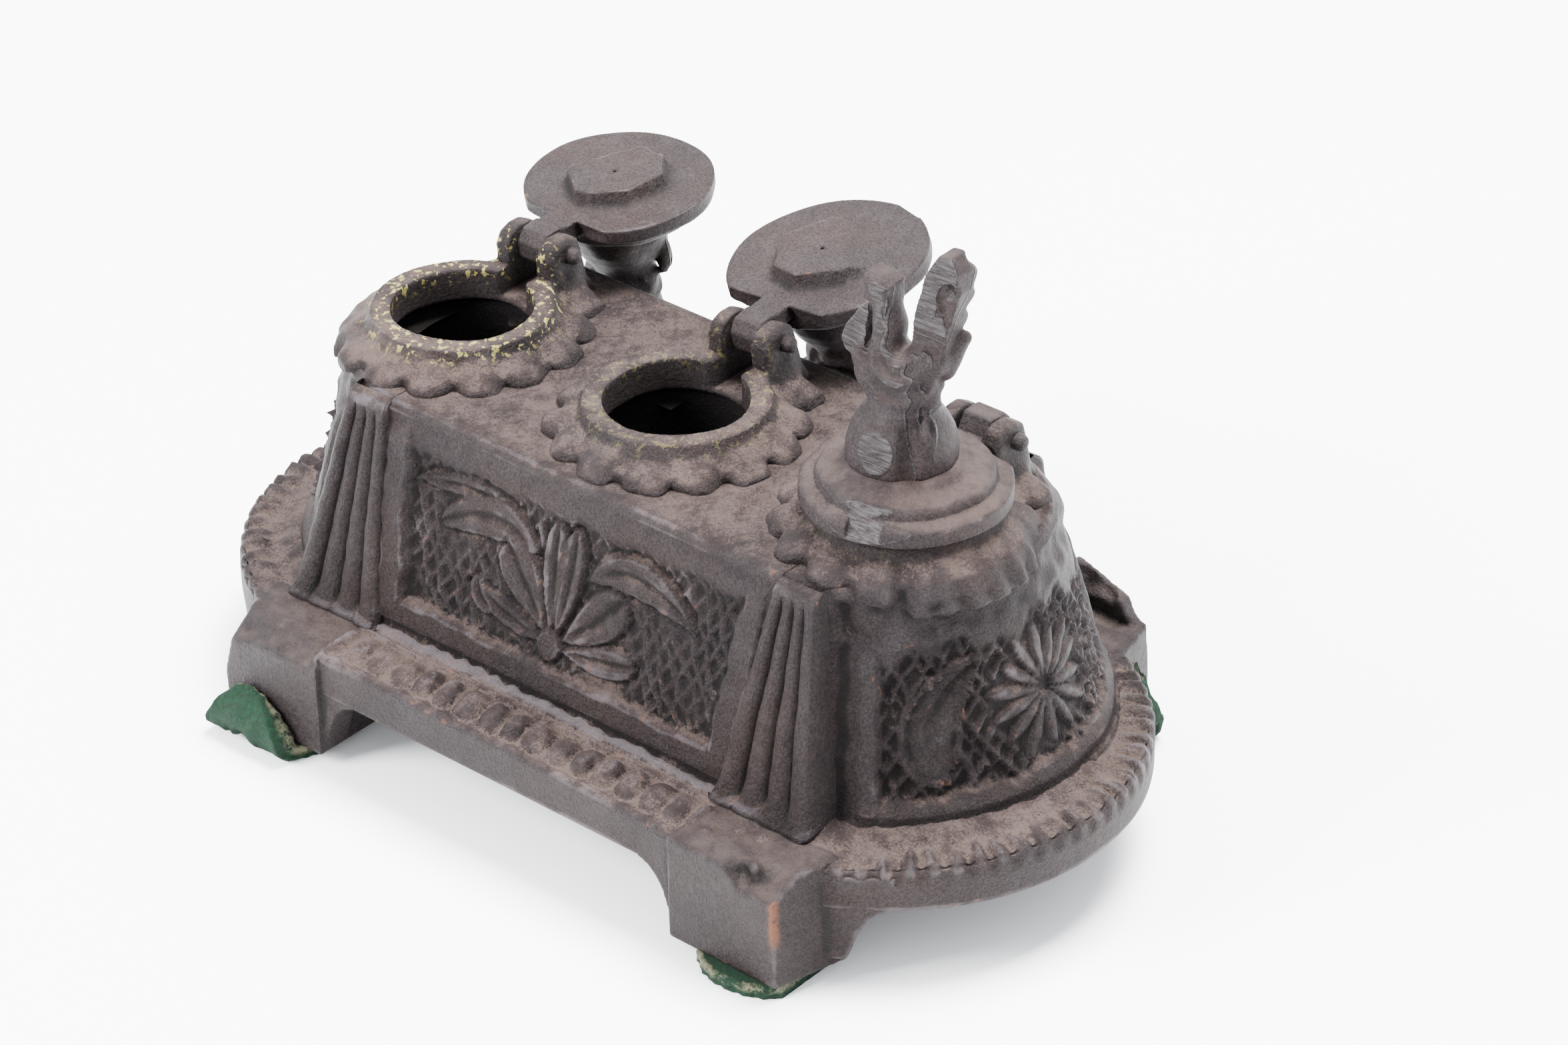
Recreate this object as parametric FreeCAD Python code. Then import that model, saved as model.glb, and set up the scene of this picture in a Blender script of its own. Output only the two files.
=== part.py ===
import FreeCAD, Part
import math
import os

# Triple inkwell of cast bronze: a tapered casket on a footed plinth, three wells with
# hinged lids, and a cast bird as the knob of each lid. All sizes are in millimetres.
# The model is laid out with +X along the row of wells and +Y towards the hinges, and
# heights count from the metal underside of the feet. At the end every piece is moved so
# that the origin is the bottom centre of the whole object's box, on the felt's underside.

Vec = FreeCAD.Vector
X_AXIS = Vec(1, 0, 0)
Y_AXIS = Vec(0, 1, 0)
Z_AXIS = Vec(0, 0, 1)

# ---- plinth ----
plinth_underside = 10.5        # height of the rail's lower edge above the feet's underside
rail_height = 6.8              # visible height of the rail
rail_face = 42.2               # front and back faces of the rail, from the row of wells
plinth_end_x = 39.8            # centre of each rounded end
plinth_end_radius = 38.8
plinth_wall = 5.0              # thickness of the rail
plinth_roof = 3.2              # thickness of the plate above the hollow underside
foot_inner_x = 34.9            # edge of the foot that faces the arch
foot_corner_x = 54.8           # outer front corner of the foot
foot_side_x = 58.0             # outer edge of the foot where it meets the rounded end
foot_proud = 0.8               # how far a foot stands in front of the rail
foot_depth = 11.5
arch_radius = 3.6              # hollow curve between a foot and the rail

# ---- rear gallery ----
gallery_wall = 2.4
gallery_mid_height = 2.0       # above the plinth's top, in the middle of the back
gallery_end_height = 3.0       # at the ends of the long dip
horn_notch_height = 4.5        # step just inside each horn
horn_height = 7.0              # tips of the two horns
horn_shoulder_height = 3.5     # outer shoulder, above the corner of the foot
horn_tip_x = 41.3
horn_notch_width = 2.0
horn_shoulder_x = 51.1
horn_foot_x = 53.2             # where the horn runs down into the corner

# ---- casket ----
casket_height = 33.7           # from the plinth's top to the flat top
casket_waist_height = 13.7     # height of the break between the flared base and the wall
casket_end_x = 36.3            # centre of each curved end
casket_centre_y = 3.2          # the casket stands behind the row of wells by this much
casket_base_radius = 33.0
casket_waist_radius = 29.8
casket_top_radius = 24.4
casket_back_base = 31.5        # flat back, at the plinth
casket_back_top = 27.4         # flat back, at the top
casket_wall = 3.0
panel_depth = 0.9              # recess of the front panel
panel_base_half = 28.0         # half-length of the front panel along its lower edge
panel_top_half = 33.5
panel_base_margin = 4.0        # plain border below the front panel
panel_top_margin = 5.0

# ---- pilasters ----
pilaster_top_x = 41.5          # middle of a pilaster at the top
pilaster_base_x = 42.5         # middle of a pilaster at the plinth
pilaster_top_width = 7.5
pilaster_base_width = 18.5
pilaster_relief = 1.6          # how far a pilaster stands out of the wall
back_pilaster_relief = 0.9
flute_count = 4
flute_depth = 0.8
flute_base_margin = 1.0        # plain end of a flute, above the plinth
flute_top_margin = 2.0         # and below the casket's top

# ---- wells and their collars ----
well_pitch = 43.0
well_radius = 10.7             # mouth of a well
rim_radius = 14.1              # outside of the raised rim
rim_height = 5.3               # of the rim's flat top above the casket
collar_flange_radius = 17.6
collar_flange_height = 1.8
petal_count = 14
petal_radius = 2.55
petal_reach = 20.0             # tips of the petals, from the well's centre
cup_wall = 1.5
cup_radius = 13.6              # outside of an ink cup
cup_depth = 26.0
solder_gap = 0.1               # between pieces that are soldered in place

# ---- hinges ----
hinge_y = 17.6                 # pin's axis, behind the well's centre
hinge_height = 7.8             # pin's axis above the casket
ear_radius = 3.0
ear_lead = 2.0                 # the ear's rounded top reaches forward by this much
ear_thickness = 3.0
ear_front_y = 11.0
ear_rim_drop = 0.5             # the ear's front shoulder lies below the rim's flat top
ear_back_y = 23.0
tongue_width = 5.4
tongue_side_gap = 0.15         # between the tongue and each ear
barrel_radius = 3.1
barrel_gap = 0.4               # between the barrel and the slot's floor
pin_radius = 1.35
pin_fixed_gap = 0.02           # the pin is driven into the ears
pin_running_gap = 0.07         # the lid turns on the pin
pin_overhang_left = 0.3
pin_overhang_right = 1.8

# ---- lids ----
lid_thickness = 2.65
lid_seat_gap = 0.1
lid_ear_gap = 0.5              # between the lid's edge and the ears, all the way round
tier_radius = 12.8
tier_height = 2.4
dome_radius = 9.2              # foot of the bell that carries the bird
dome_height = 1.2
plug_radius = 7.6
plug_edge_radius = 8.6
plug_height = 2.4

# ---- birds ----
bell_profile = (               # (radius, height above the lid's dome), from the foot to the neck
    (8.4, 0.0),
    (8.0, 3.0),
    (7.0, 5.4),
    (4.6, 8.4),
)
bird_body_length = 14.5
bird_body_width = 8.6
bird_body_height = 9.0
bird_body_x = -0.8             # middle of the body, from the middle of the lid
bird_body_z = 11.0             # middle of the body above the lid's dome
neck_x = -3.4
neck_radius = 2.7
neck_root_radius = 3.3
beak_width = 3.6
beak_profile = (               # (x from the neck's middle, distance below the head's top)
    (0.0, 4.0),
    (-3.6, 7.0),
    (-6.2, 12.5),
    (-4.4, 14.0),
    (0.0, 12.0),
)
bird_head_height = 28.5        # top of the head above the lid's dome
bird_tail_height = 34.6        # top of the tail above the lid's dome
tail_width = 7.0
tail_profile = (               # (x from the middle of the lid, distance below the tail's top)
    (1.5, 26.7),
    (5.4, 25.2),
    (9.2, 15.2),
    (10.4, 4.0),
    (8.6, 0.0),
    (7.0, 2.0),
    (5.0, 16.2),
)
tang_radius = 1.4
tang_gap = 0.05
tang_length = 4.0
vent_radius = 0.45             # pin-hole in the plug, under the tang

# ---- felt pads ----
felt_thickness = 2.2
felt_radius = 10.4
felt_offsets = {               # centre of each pad from the middle of its foot
    "front_left": (-3.4, -0.2),
    "front_right": (2.1, 2.2),
    "back_left": (-1.5, -1.5),
    "back_right": (3.4, -0.8),
}

# ---- the three lids: name, opening at rest in degrees, lid radius, tilt of the hinge ----
lid_rows = (
    ("left", 175.5, 15.1, 0.0),
    ("middle", 170.0, 15.8, 3.0),
    ("right", 0.0, 15.5, 0.0),
)

# ---- worked out from the sizes above ----
plinth_top = plinth_underside + rail_height
casket_top = plinth_top + casket_height
rim_top = casket_top + rim_height
hinge_z = casket_top + hinge_height
slot_floor = hinge_z - barrel_radius - barrel_gap
slot_half_width = tongue_width / 2 + tongue_side_gap
ear_outer_x = slot_half_width + ear_thickness
ear_reach = ear_lead + ear_radius
ear_foot_z = rim_top - ear_rim_drop
ear_foot_y = hinge_y - math.sqrt(ear_reach ** 2 - (hinge_z - ear_foot_z) ** 2)
lid_bottom = rim_top + lid_seat_gap
lid_top = lid_bottom + lid_thickness
tier_top = lid_top + tier_height
dome_top = tier_top + dome_height
well_places = {"left": -well_pitch, "middle": 0.0, "right": well_pitch}


def box_between(low, high):
    """A box given by its lowest and highest corners."""
    return Part.makeBox(high[0] - low[0], high[1] - low[1], high[2] - low[2], Vec(*low))


def upright_prism(points, bottom, top):
    """A prism on an outline of (x, y) points."""
    corners = [Vec(x, y, bottom) for x, y in points]
    outline = Part.makePolygon(corners + corners[:1])
    return Part.Face(outline).extrude(Vec(0, 0, top - bottom))


def sideways_prism(points, x_low, x_high):
    """A prism along X on an outline of (y, z) points."""
    corners = [Vec(x_low, y, z) for y, z in points]
    outline = Part.makePolygon(corners + corners[:1])
    return Part.Face(outline).extrude(Vec(x_high - x_low, 0, 0))


def turned(points):
    """A solid of revolution about Z on an outline of (radius, z) points."""
    corners = [Vec(r, 0, z) for r, z in points]
    outline = Part.makePolygon(corners + corners[:1])
    return Part.Face(outline).revolve(Vec(0, 0, 0), Z_AXIS, 360)


def fused(shapes):
    """One clean solid from several that touch or overlap."""
    return shapes[0].multiFuse(shapes[1:]).removeSplitter()


def stadium(half_straight, radius, centre_y, height):
    """A closed outline with a straight front and back and half-round ends."""
    near, far = centre_y - radius, centre_y + radius
    front = Part.LineSegment(Vec(-half_straight, near, height), Vec(half_straight, near, height))
    right = Part.Arc(
        Vec(half_straight, near, height),
        Vec(half_straight + radius, centre_y, height),
        Vec(half_straight, far, height),
    )
    back = Part.LineSegment(Vec(half_straight, far, height), Vec(-half_straight, far, height))
    left = Part.Arc(
        Vec(-half_straight, far, height),
        Vec(-half_straight - radius, centre_y, height),
        Vec(-half_straight, near, height),
    )
    return Part.Wire([edge.toShape() for edge in (front, right, back, left)])


def foot_corners():
    """The name and the two signs (x, y) of each corner."""
    return [
        ("front_left", -1, -1),
        ("front_right", 1, -1),
        ("back_left", -1, 1),
        ("back_right", 1, 1),
    ]


def foot_outline(sign_x, sign_y):
    """Footprint of one foot: square to the rail, splayed along the rounded end."""
    face = rail_face + foot_proud
    inner = rail_face - foot_depth
    corners = [(foot_inner_x, face), (foot_corner_x, face), (foot_side_x, inner), (foot_inner_x, inner)]
    return [(sign_x * x, sign_y * y) for x, y in corners]


def plinth_block(offset, bottom, top):
    """The plinth's outline, drawn in by an offset, as a block between two heights."""
    face = rail_face - offset
    straight = box_between((-plinth_end_x, -face, bottom), (plinth_end_x, face, top))
    radius = plinth_end_radius - offset
    ends = [
        Part.makeCylinder(radius, top - bottom, Vec(side * plinth_end_x, 0, bottom)) for side in (-1, 1)
    ]
    return fused([straight] + ends)


def make_arch_fillets(sign_y):
    """Hollow curves where the two feet of one long side meet the rail."""
    fillets = []
    inner, outer = sorted((sign_y * (rail_face - plinth_wall), sign_y * rail_face))
    for sign_x in (-1, 1):
        edge = sign_x * foot_inner_x
        far = sign_x * (foot_inner_x - arch_radius)
        low_x, high_x = sorted((edge, far))
        block = box_between((low_x, inner, plinth_underside - arch_radius), (high_x, outer, plinth_underside))
        bore = Part.makeCylinder(
            arch_radius, outer - inner, Vec(far, inner, plinth_underside - arch_radius), Y_AXIS
        )
        fillets.append(block.cut(bore))
    return fillets


def make_gallery():
    """Low wall along the back edge: a long shallow dip between two horned ends."""
    outer = rail_face + foot_proud
    inner = outer - gallery_wall
    notch_x = horn_tip_x - horn_notch_width
    dip_end_x = notch_x - horn_notch_width
    profile = [
        (horn_foot_x, 0),
        (horn_shoulder_x, horn_shoulder_height),
        (horn_tip_x, horn_height),
        (notch_x, horn_notch_height),
        (dip_end_x, gallery_end_height),
    ]
    left_end = Part.makePolygon([Vec(-x, inner, plinth_top + rise) for x, rise in profile])
    right_end = Part.makePolygon([Vec(x, inner, plinth_top + rise) for x, rise in reversed(profile)])
    dip = Part.Arc(
        Vec(-dip_end_x, inner, plinth_top + gallery_end_height),
        Vec(0, inner, plinth_top + gallery_mid_height),
        Vec(dip_end_x, inner, plinth_top + gallery_end_height),
    )
    base = Part.makePolygon([Vec(horn_foot_x, inner, plinth_top), Vec(-horn_foot_x, inner, plinth_top)])
    outline = Part.Wire(left_end.Edges + [dip.toShape()] + right_end.Edges + base.Edges)
    wall = Part.Face(outline).extrude(Vec(0, gallery_wall, 0))
    ledge = box_between((-foot_inner_x, inner, plinth_underside), (foot_inner_x, outer, plinth_top))
    return [wall, ledge]


def make_plinth():
    """Base plate with four corner feet, a hollow underside and the rear gallery."""
    plate = plinth_block(0, plinth_underside, plinth_top)
    hollow = plinth_block(plinth_wall, plinth_underside, plinth_top - plinth_roof)
    feet = [upright_prism(foot_outline(sx, sy), 0, plinth_top) for _, sx, sy in foot_corners()]
    seat = 2 * casket_wall
    mouth = box_between(
        (-casket_end_x, casket_centre_y - casket_base_radius + seat, plinth_top - plinth_roof),
        (casket_end_x, casket_back_base - seat, plinth_top),
    )
    shell = plate.cut(hollow).cut(mouth)
    return fused([shell] + make_gallery() + feet + make_arch_fillets(-1) + make_arch_fillets(1))


def casket_block(offset, bottom, top):
    """The casket's flared outline, drawn in by an offset, between the plinth and a height."""
    heights = (plinth_top, plinth_top + casket_waist_height, casket_top)
    radii = (casket_base_radius, casket_waist_radius, casket_top_radius)
    wires = [stadium(casket_end_x, r - offset, casket_centre_y, z) for r, z in zip(radii, heights)]
    lower = Part.makeLoft(wires[:2], True, True)
    upper = Part.makeLoft(wires[1:], True, True)
    reach = -2 * casket_base_radius
    outline = [
        (reach, bottom),
        (casket_back_base - offset, plinth_top),
        (casket_back_top - offset, casket_top),
        (reach, casket_top),
    ]
    half_length = 2 * casket_end_x + casket_base_radius
    keep = sideways_prism(outline, -half_length, half_length)
    limit = box_between((-half_length, reach, bottom), (half_length, -reach, top))
    return lower.fuse(upper).common(keep).common(limit).removeSplitter()


def front_wall_y(height):
    """Where the front wall stands at a height."""
    waist = plinth_top + casket_waist_height
    if height <= waist:
        share = (height - plinth_top) / casket_waist_height
        radius = casket_base_radius + share * (casket_waist_radius - casket_base_radius)
    else:
        share = (height - waist) / (casket_top - waist)
        radius = casket_waist_radius + share * (casket_top_radius - casket_waist_radius)
    return casket_centre_y - radius


def back_wall_y(height):
    """Where the flat back stands at a height."""
    share = (height - plinth_top) / casket_height
    return casket_back_base + share * (casket_back_top - casket_back_base)


def pilaster_slab(sign_x, wall_y, outward, relief):
    """A fan-shaped slab on a wall: narrow at the top, wide at the plinth."""
    rows = (
        (plinth_top, pilaster_base_x, pilaster_base_width),
        (casket_top, pilaster_top_x, pilaster_top_width),
    )
    wires = []
    for height, middle, width in rows:
        half = width / 2
        face = wall_y(height) + outward * relief
        root = wall_y(height) - outward * casket_wall / 2
        corners = [
            Vec(sign_x * middle - half, face, height),
            Vec(sign_x * middle + half, face, height),
            Vec(sign_x * middle + half, root, height),
            Vec(sign_x * middle - half, root, height),
        ]
        wires.append(Part.makePolygon(corners + corners[:1]))
    return Part.makeLoft(wires, True, True)


def pilaster_flutes(sign_x, wall_y, outward, relief):
    """Tapered grooves that leave ribs between them on a pilaster's face."""
    grooves = []
    pitch_share = 1.0 / (2 * flute_count + 1)
    for index in range(flute_count):
        start = (2 * index + 1) * pitch_share - 0.5
        end = start + pitch_share
        wires = []
        rows = (
            (plinth_top + flute_base_margin, pilaster_base_x, pilaster_base_width),
            (casket_top - flute_top_margin, pilaster_top_x, pilaster_top_width),
        )
        for height, middle, width in rows:
            face = wall_y(height) + outward * relief
            corners = [
                Vec(sign_x * middle + start * width, face + outward, height),
                Vec(sign_x * middle + end * width, face + outward, height),
                Vec(sign_x * middle + end * width, face - outward * flute_depth, height),
                Vec(sign_x * middle + start * width, face - outward * flute_depth, height),
            ]
            wires.append(Part.makePolygon(corners + corners[:1]))
        grooves.append(Part.makeLoft(wires, True, True))
    return grooves


def panel_recess():
    """Tool for the sunk front panel, which follows the slope of the wall and widens upwards."""
    low = plinth_top + panel_base_margin
    high = casket_top - panel_top_margin
    waist = plinth_top + casket_waist_height
    parts = []
    wires = []
    for height in (low, waist, high):
        share = (height - low) / (high - low)
        half = panel_base_half + share * (panel_top_half - panel_base_half)
        sunk = front_wall_y(height) + panel_depth
        clear = front_wall_y(height) - casket_wall
        corners = [Vec(x, y, height) for x, y in ((-half, clear), (half, clear), (half, sunk), (-half, sunk))]
        wires.append(Part.makePolygon(corners + corners[:1]))
    for lower, upper in zip(wires, wires[1:]):
        parts.append(Part.makeLoft([lower, upper], True, True))
    return fused(parts)


def make_casket():
    """Hollow tapered box with three holes in its top, pilasters and a recessed front."""
    shell = casket_block(0, plinth_top, casket_top)
    hollow = casket_block(casket_wall, plinth_top, casket_top - casket_wall)
    slabs = []
    grooves = []
    for sign_x in (-1, 1):
        for wall_y, outward, relief in (
            (front_wall_y, -1, pilaster_relief),
            (back_wall_y, 1, back_pilaster_relief),
        ):
            slabs.append(pilaster_slab(sign_x, wall_y, outward, relief))
            grooves += pilaster_flutes(sign_x, wall_y, outward, relief)
    solid = fused([shell] + slabs)
    for groove in grooves:
        solid = solid.cut(groove)
    solid = solid.cut(panel_recess()).cut(hollow)
    for place in well_places.values():
        hole = Part.makeCylinder(cup_radius + solder_gap, casket_height, Vec(place, 0, plinth_top))
        solid = solid.cut(hole)
    return solid.removeSplitter()


def hinge_line(place, x_low, x_high, radius, tilt):
    """A round bar on a hinge axis, from one distance along it to another."""
    bar = Part.makeCylinder(radius, x_high - x_low, Vec(place + x_low, hinge_y, hinge_z), X_AXIS)
    bar.rotate(Vec(place, hinge_y, hinge_z), Y_AXIS, -tilt)
    return bar


def make_collar(place, tilt):
    """Scalloped collar with the raised rim of a well and the two ears of its hinge."""
    base = casket_top
    ring = turned([
        (well_radius, base),
        (collar_flange_radius, base),
        (collar_flange_radius, base + collar_flange_height),
        (rim_radius, base + rim_height - collar_flange_height),
        (rim_radius, rim_top),
        (well_radius, rim_top),
    ])
    petals = []
    for index in range(petal_count):
        angle = math.radians(360.0 * (index + 0.5) / petal_count)
        reach = petal_reach - petal_radius
        centre = Vec(reach * math.cos(angle), reach * math.sin(angle), base)
        petals.append(Part.makeCylinder(petal_radius, collar_flange_height, centre))
    lead_y = hinge_y - ear_lead
    ear_points = [
        (ear_front_y, base - 1),
        (ear_front_y, ear_foot_z),
        (ear_foot_y, ear_foot_z),
        (lead_y - ear_radius, hinge_z),
        (lead_y, hinge_z + ear_radius),
        (hinge_y, hinge_z + ear_radius),
        (hinge_y + ear_radius, hinge_z),
        (ear_back_y, base - 1),
    ]
    lug = sideways_prism(ear_points, -ear_outer_x, ear_outer_x)
    for middle_y in (lead_y, hinge_y):
        knuckle = Part.makeCylinder(ear_radius, 2 * ear_outer_x, Vec(-ear_outer_x, middle_y, hinge_z), X_AXIS)
        lug = lug.fuse(knuckle)
    slot = box_between(
        (-slot_half_width, well_radius - 4, slot_floor), (slot_half_width, 2 * ear_back_y, 2 * hinge_z)
    )
    for piece in (lug, slot):
        piece.rotate(Vec(0, hinge_y, hinge_z), Y_AXIS, -tilt)
    well = Part.makeCylinder(well_radius, 2 * casket_height, Vec(0, 0, base - casket_height))
    above = box_between((-petal_reach, -petal_reach, base), (petal_reach, 2 * ear_back_y, 2 * hinge_z))
    collar = fused([ring, lug.common(above)] + petals).cut(slot).cut(well)
    collar.translate(Vec(place, 0, 0))
    bore = hinge_line(place, -3 * ear_outer_x, 3 * ear_outer_x, pin_radius + pin_fixed_gap, tilt)
    return collar.cut(bore).removeSplitter()


def make_cup(place):
    """Closed-bottom cup that holds the ink, soldered into the casket's top."""
    bottom = casket_top - cup_depth
    outside = Part.makeCylinder(cup_radius, cup_depth, Vec(place, 0, bottom))
    inside = Part.makeCylinder(cup_radius - cup_wall, cup_depth, Vec(place, 0, bottom + cup_wall))
    cup = outside.cut(inside)
    corner = [edge for edge in cup.Edges if edge.BoundBox.ZMax < bottom + cup_wall / 2]
    return cup.makeFillet(cup_wall / 2, corner)


def make_hinge_pin(place, tilt):
    """Headless pin through both ears."""
    return hinge_line(place, -ear_outer_x - pin_overhang_left, ear_outer_x + pin_overhang_right, pin_radius, tilt)


def make_lid(place, radius, tilt):
    """Stepped round lid with a plug underneath and the tongue that turns on the pin."""
    disc = turned([
        (0, lid_bottom - plug_height),
        (plug_radius, lid_bottom - plug_height),
        (plug_edge_radius, lid_bottom),
        (radius, lid_bottom),
        (radius, lid_top),
        (tier_radius, lid_top),
        (tier_radius, tier_top),
        (dome_radius, dome_top),
        (0, dome_top),
    ])
    arm_start = hinge_y - 2 * ear_reach
    arm = box_between((-tongue_width / 2, arm_start, lid_bottom), (tongue_width / 2, hinge_y, lid_top))
    barrel = Part.makeCylinder(barrel_radius, tongue_width, Vec(-tongue_width / 2, hinge_y, hinge_z), X_AXIS)
    reach = 2 * radius
    sweep_radius = ear_reach + lid_ear_gap
    sweep = Part.makeCylinder(sweep_radius, 2 * reach, Vec(-reach, hinge_y, hinge_z), X_AXIS)
    for piece in (arm, barrel, sweep):
        piece.rotate(Vec(0, hinge_y, hinge_z), Y_AXIS, -tilt)
    lid = fused([disc.cut(sweep), arm, barrel])
    socket_floor = dome_top - tang_length - tang_gap
    socket = Part.makeCylinder(tang_radius + tang_gap, 2 * tang_length, Vec(0, 0, socket_floor))
    vent = Part.makeCylinder(vent_radius, 2 * tang_length, Vec(0, 0, lid_bottom - 2 * plug_height))
    lid = lid.cut(socket).cut(vent)
    lid.translate(Vec(place, 0, 0))
    bore = hinge_line(place, -ear_outer_x, ear_outer_x, pin_radius + pin_running_gap, tilt)
    return lid.cut(bore).removeSplitter()


def make_bird(place):
    """Bird with a raised fan tail on a bell foot, held in the lid by a tang."""
    base = dome_top
    bell_outline = [(radius, base + height) for radius, height in bell_profile]
    bell = turned([(0, base)] + bell_outline + [(0, bell_outline[-1][1])])
    tang = Part.makeCylinder(tang_radius, tang_length, Vec(0, 0, base - tang_length))
    body_middle = base + bird_body_z
    stretch = FreeCAD.Matrix()
    stretch.scale(bird_body_length / 2, bird_body_width / 2, bird_body_height / 2)
    body = Part.makeSphere(1).transformGeometry(stretch)
    body.translate(Vec(bird_body_x, 0, body_middle))
    head_top = base + bird_head_height
    neck = Part.makeCone(neck_root_radius, neck_radius, head_top - body_middle, Vec(neck_x, 0, body_middle))
    beak_points = [Vec(neck_x + x, 0, head_top - drop) for x, drop in beak_profile]
    beak = Part.Face(Part.makePolygon(beak_points + beak_points[:1])).extrude(Vec(0, beak_width, 0))
    beak.translate(Vec(0, -beak_width / 2, 0))
    tail_top = base + bird_tail_height
    tail_points = [Vec(x, 0, tail_top - drop) for x, drop in tail_profile]
    tail = Part.Face(Part.makePolygon(tail_points + tail_points[:1])).extrude(Vec(0, tail_width, 0))
    tail.translate(Vec(0, -tail_width / 2, 0))
    crown_z = tail_top - tail_width / 2
    crown = Part.makeCylinder(tail_width / 2, bird_body_length, Vec(0, 0, crown_z), X_AXIS)
    below = box_between((0, -tail_width / 2, base), (bird_body_length, tail_width / 2, crown_z))
    tail = tail.common(crown.fuse(below))
    bird = fused([bell, tang, body, neck, beak, tail])
    bird.translate(Vec(place, 0, 0))
    return bird


def make_felt_pad(name, sign_x, sign_y):
    """Round pad glued under a foot."""
    middle_x = sign_x * (foot_inner_x + foot_corner_x) / 2
    middle_y = sign_y * (rail_face + foot_proud - foot_depth / 2)
    shift_x, shift_y = felt_offsets[name]
    centre = Vec(middle_x + shift_x, middle_y + shift_y, -felt_thickness)
    return Part.makeCylinder(felt_radius, felt_thickness, centre)


def open_lid(piece, place, opening, tilt):
    """Turn a piece of a lid about its hinge, from closed to its opening at rest."""
    axis = Vec(-math.cos(math.radians(tilt)), 0, -math.sin(math.radians(tilt)))
    piece.rotate(Vec(place, hinge_y, hinge_z), axis, opening)
    return piece


def make_all():
    """Every piece by name, still in the layout frame."""
    pieces = {"plinth": make_plinth(), "casket": make_casket()}
    for name, opening, radius, tilt in lid_rows:
        place = well_places[name]
        pieces["well_collar_" + name] = make_collar(place, tilt)
        pieces["ink_cup_" + name] = make_cup(place)
        pieces["hinge_pin_" + name] = make_hinge_pin(place, tilt)
        pieces["lid_" + name] = open_lid(make_lid(place, radius, tilt), place, opening, tilt)
        pieces["bird_finial_" + name] = open_lid(make_bird(place), place, opening, tilt)
    for name, sign_x, sign_y in foot_corners():
        pieces["felt_pad_" + name] = make_felt_pad(name, sign_x, sign_y)
    return pieces


def main():
    """Build, move to the origin and write one STEP file per piece."""
    os.makedirs("parts", exist_ok=True)
    pieces = make_all()
    whole = Part.makeCompound(list(pieces.values())).optimalBoundingBox(False, False)
    to_origin = Vec(-whole.Center.x, -whole.Center.y, -whole.ZMin)
    for name, shape in pieces.items():
        shape.translate(to_origin)
        solids = shape.Solids
        print(name, "solids", len(solids), "valid", shape.isValid(), "volume", round(shape.Volume, 1))
        result = solids[0] if len(solids) == 1 else Part.makeCompound(solids)
        result.exportStep("parts/" + name + ".step")
    print("origin shift", [round(v, 4) for v in to_origin])
    print("hinges at y", round(hinge_y + to_origin.y, 4), "z", round(hinge_z + to_origin.z, 4))


main()
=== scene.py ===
import math
import bpy
import numpy as np
from mathutils import Matrix, Vector


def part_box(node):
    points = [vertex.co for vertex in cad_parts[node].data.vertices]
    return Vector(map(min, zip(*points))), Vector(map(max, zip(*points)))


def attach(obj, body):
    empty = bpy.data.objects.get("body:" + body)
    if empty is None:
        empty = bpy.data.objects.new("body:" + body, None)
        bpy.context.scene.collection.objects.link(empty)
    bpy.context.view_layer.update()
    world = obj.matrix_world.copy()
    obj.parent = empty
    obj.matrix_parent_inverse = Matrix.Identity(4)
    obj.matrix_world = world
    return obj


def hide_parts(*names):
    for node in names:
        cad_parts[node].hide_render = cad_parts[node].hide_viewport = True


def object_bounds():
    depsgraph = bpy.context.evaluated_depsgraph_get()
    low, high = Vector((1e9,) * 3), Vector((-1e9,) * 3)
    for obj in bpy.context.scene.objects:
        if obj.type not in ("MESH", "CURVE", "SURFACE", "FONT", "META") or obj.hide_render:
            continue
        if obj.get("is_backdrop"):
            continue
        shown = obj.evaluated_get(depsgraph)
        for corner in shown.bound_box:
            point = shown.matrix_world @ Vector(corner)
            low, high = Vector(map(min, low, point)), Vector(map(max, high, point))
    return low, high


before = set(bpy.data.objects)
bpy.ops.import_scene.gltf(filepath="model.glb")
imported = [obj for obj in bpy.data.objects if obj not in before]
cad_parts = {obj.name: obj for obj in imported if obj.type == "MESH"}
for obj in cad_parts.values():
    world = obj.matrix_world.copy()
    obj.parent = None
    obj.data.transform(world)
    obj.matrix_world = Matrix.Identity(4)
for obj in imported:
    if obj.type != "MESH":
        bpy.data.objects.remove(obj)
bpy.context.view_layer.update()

# Shapes are drawn in millimetres, measured from the middle well across and from the metal
# underside of the feet upwards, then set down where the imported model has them.
cupLow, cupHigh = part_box("ink_cup_middle")
rowY = (cupLow.y + cupHigh.y) * 500
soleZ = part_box("felt_pad_front_left")[1].z * 1000
wells = {}
for side in ("left", "middle", "right"):
    low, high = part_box("ink_cup_" + side)
    wells[side] = (low.x + high.x) * 500

levels = {"rail": 10.5, "deck": 17.3, "waist": 31.0, "top": 51.0, "rim": 56.3, "lid": 56.4, "dome": 62.65}
hinge = {"y": 17.6, "z": 58.8}


# numbers

def smooth(low, high, value):
    share = np.clip((value - low) / (high - low), 0, 1)
    return share * share * (3 - 2 * share)


def hump(value, width):
    return np.exp(-(value / width) ** 2)


def uneven(x, y, z, size, seed):
    # the waviness of a hand-poured casting, about -1 to 1, with bumps about size mm wide
    dice = np.random.default_rng(seed)
    total = 0
    for turn in range(9):
        way = dice.normal(size=3)
        way *= 2 * math.pi / (size * dice.uniform(1.2, 3.0) * np.linalg.norm(way))
        total = total + np.sin(x * way[0] + y * way[1] + z * way[2] + dice.uniform(0, 6.28))
    return total / 4.2


def blendUnion(a, b, soft):
    share = np.clip(0.5 + 0.5 * (b - a) / soft, 0, 1)
    return b + (a - b) * share - soft * share * (1 - share)


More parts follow.
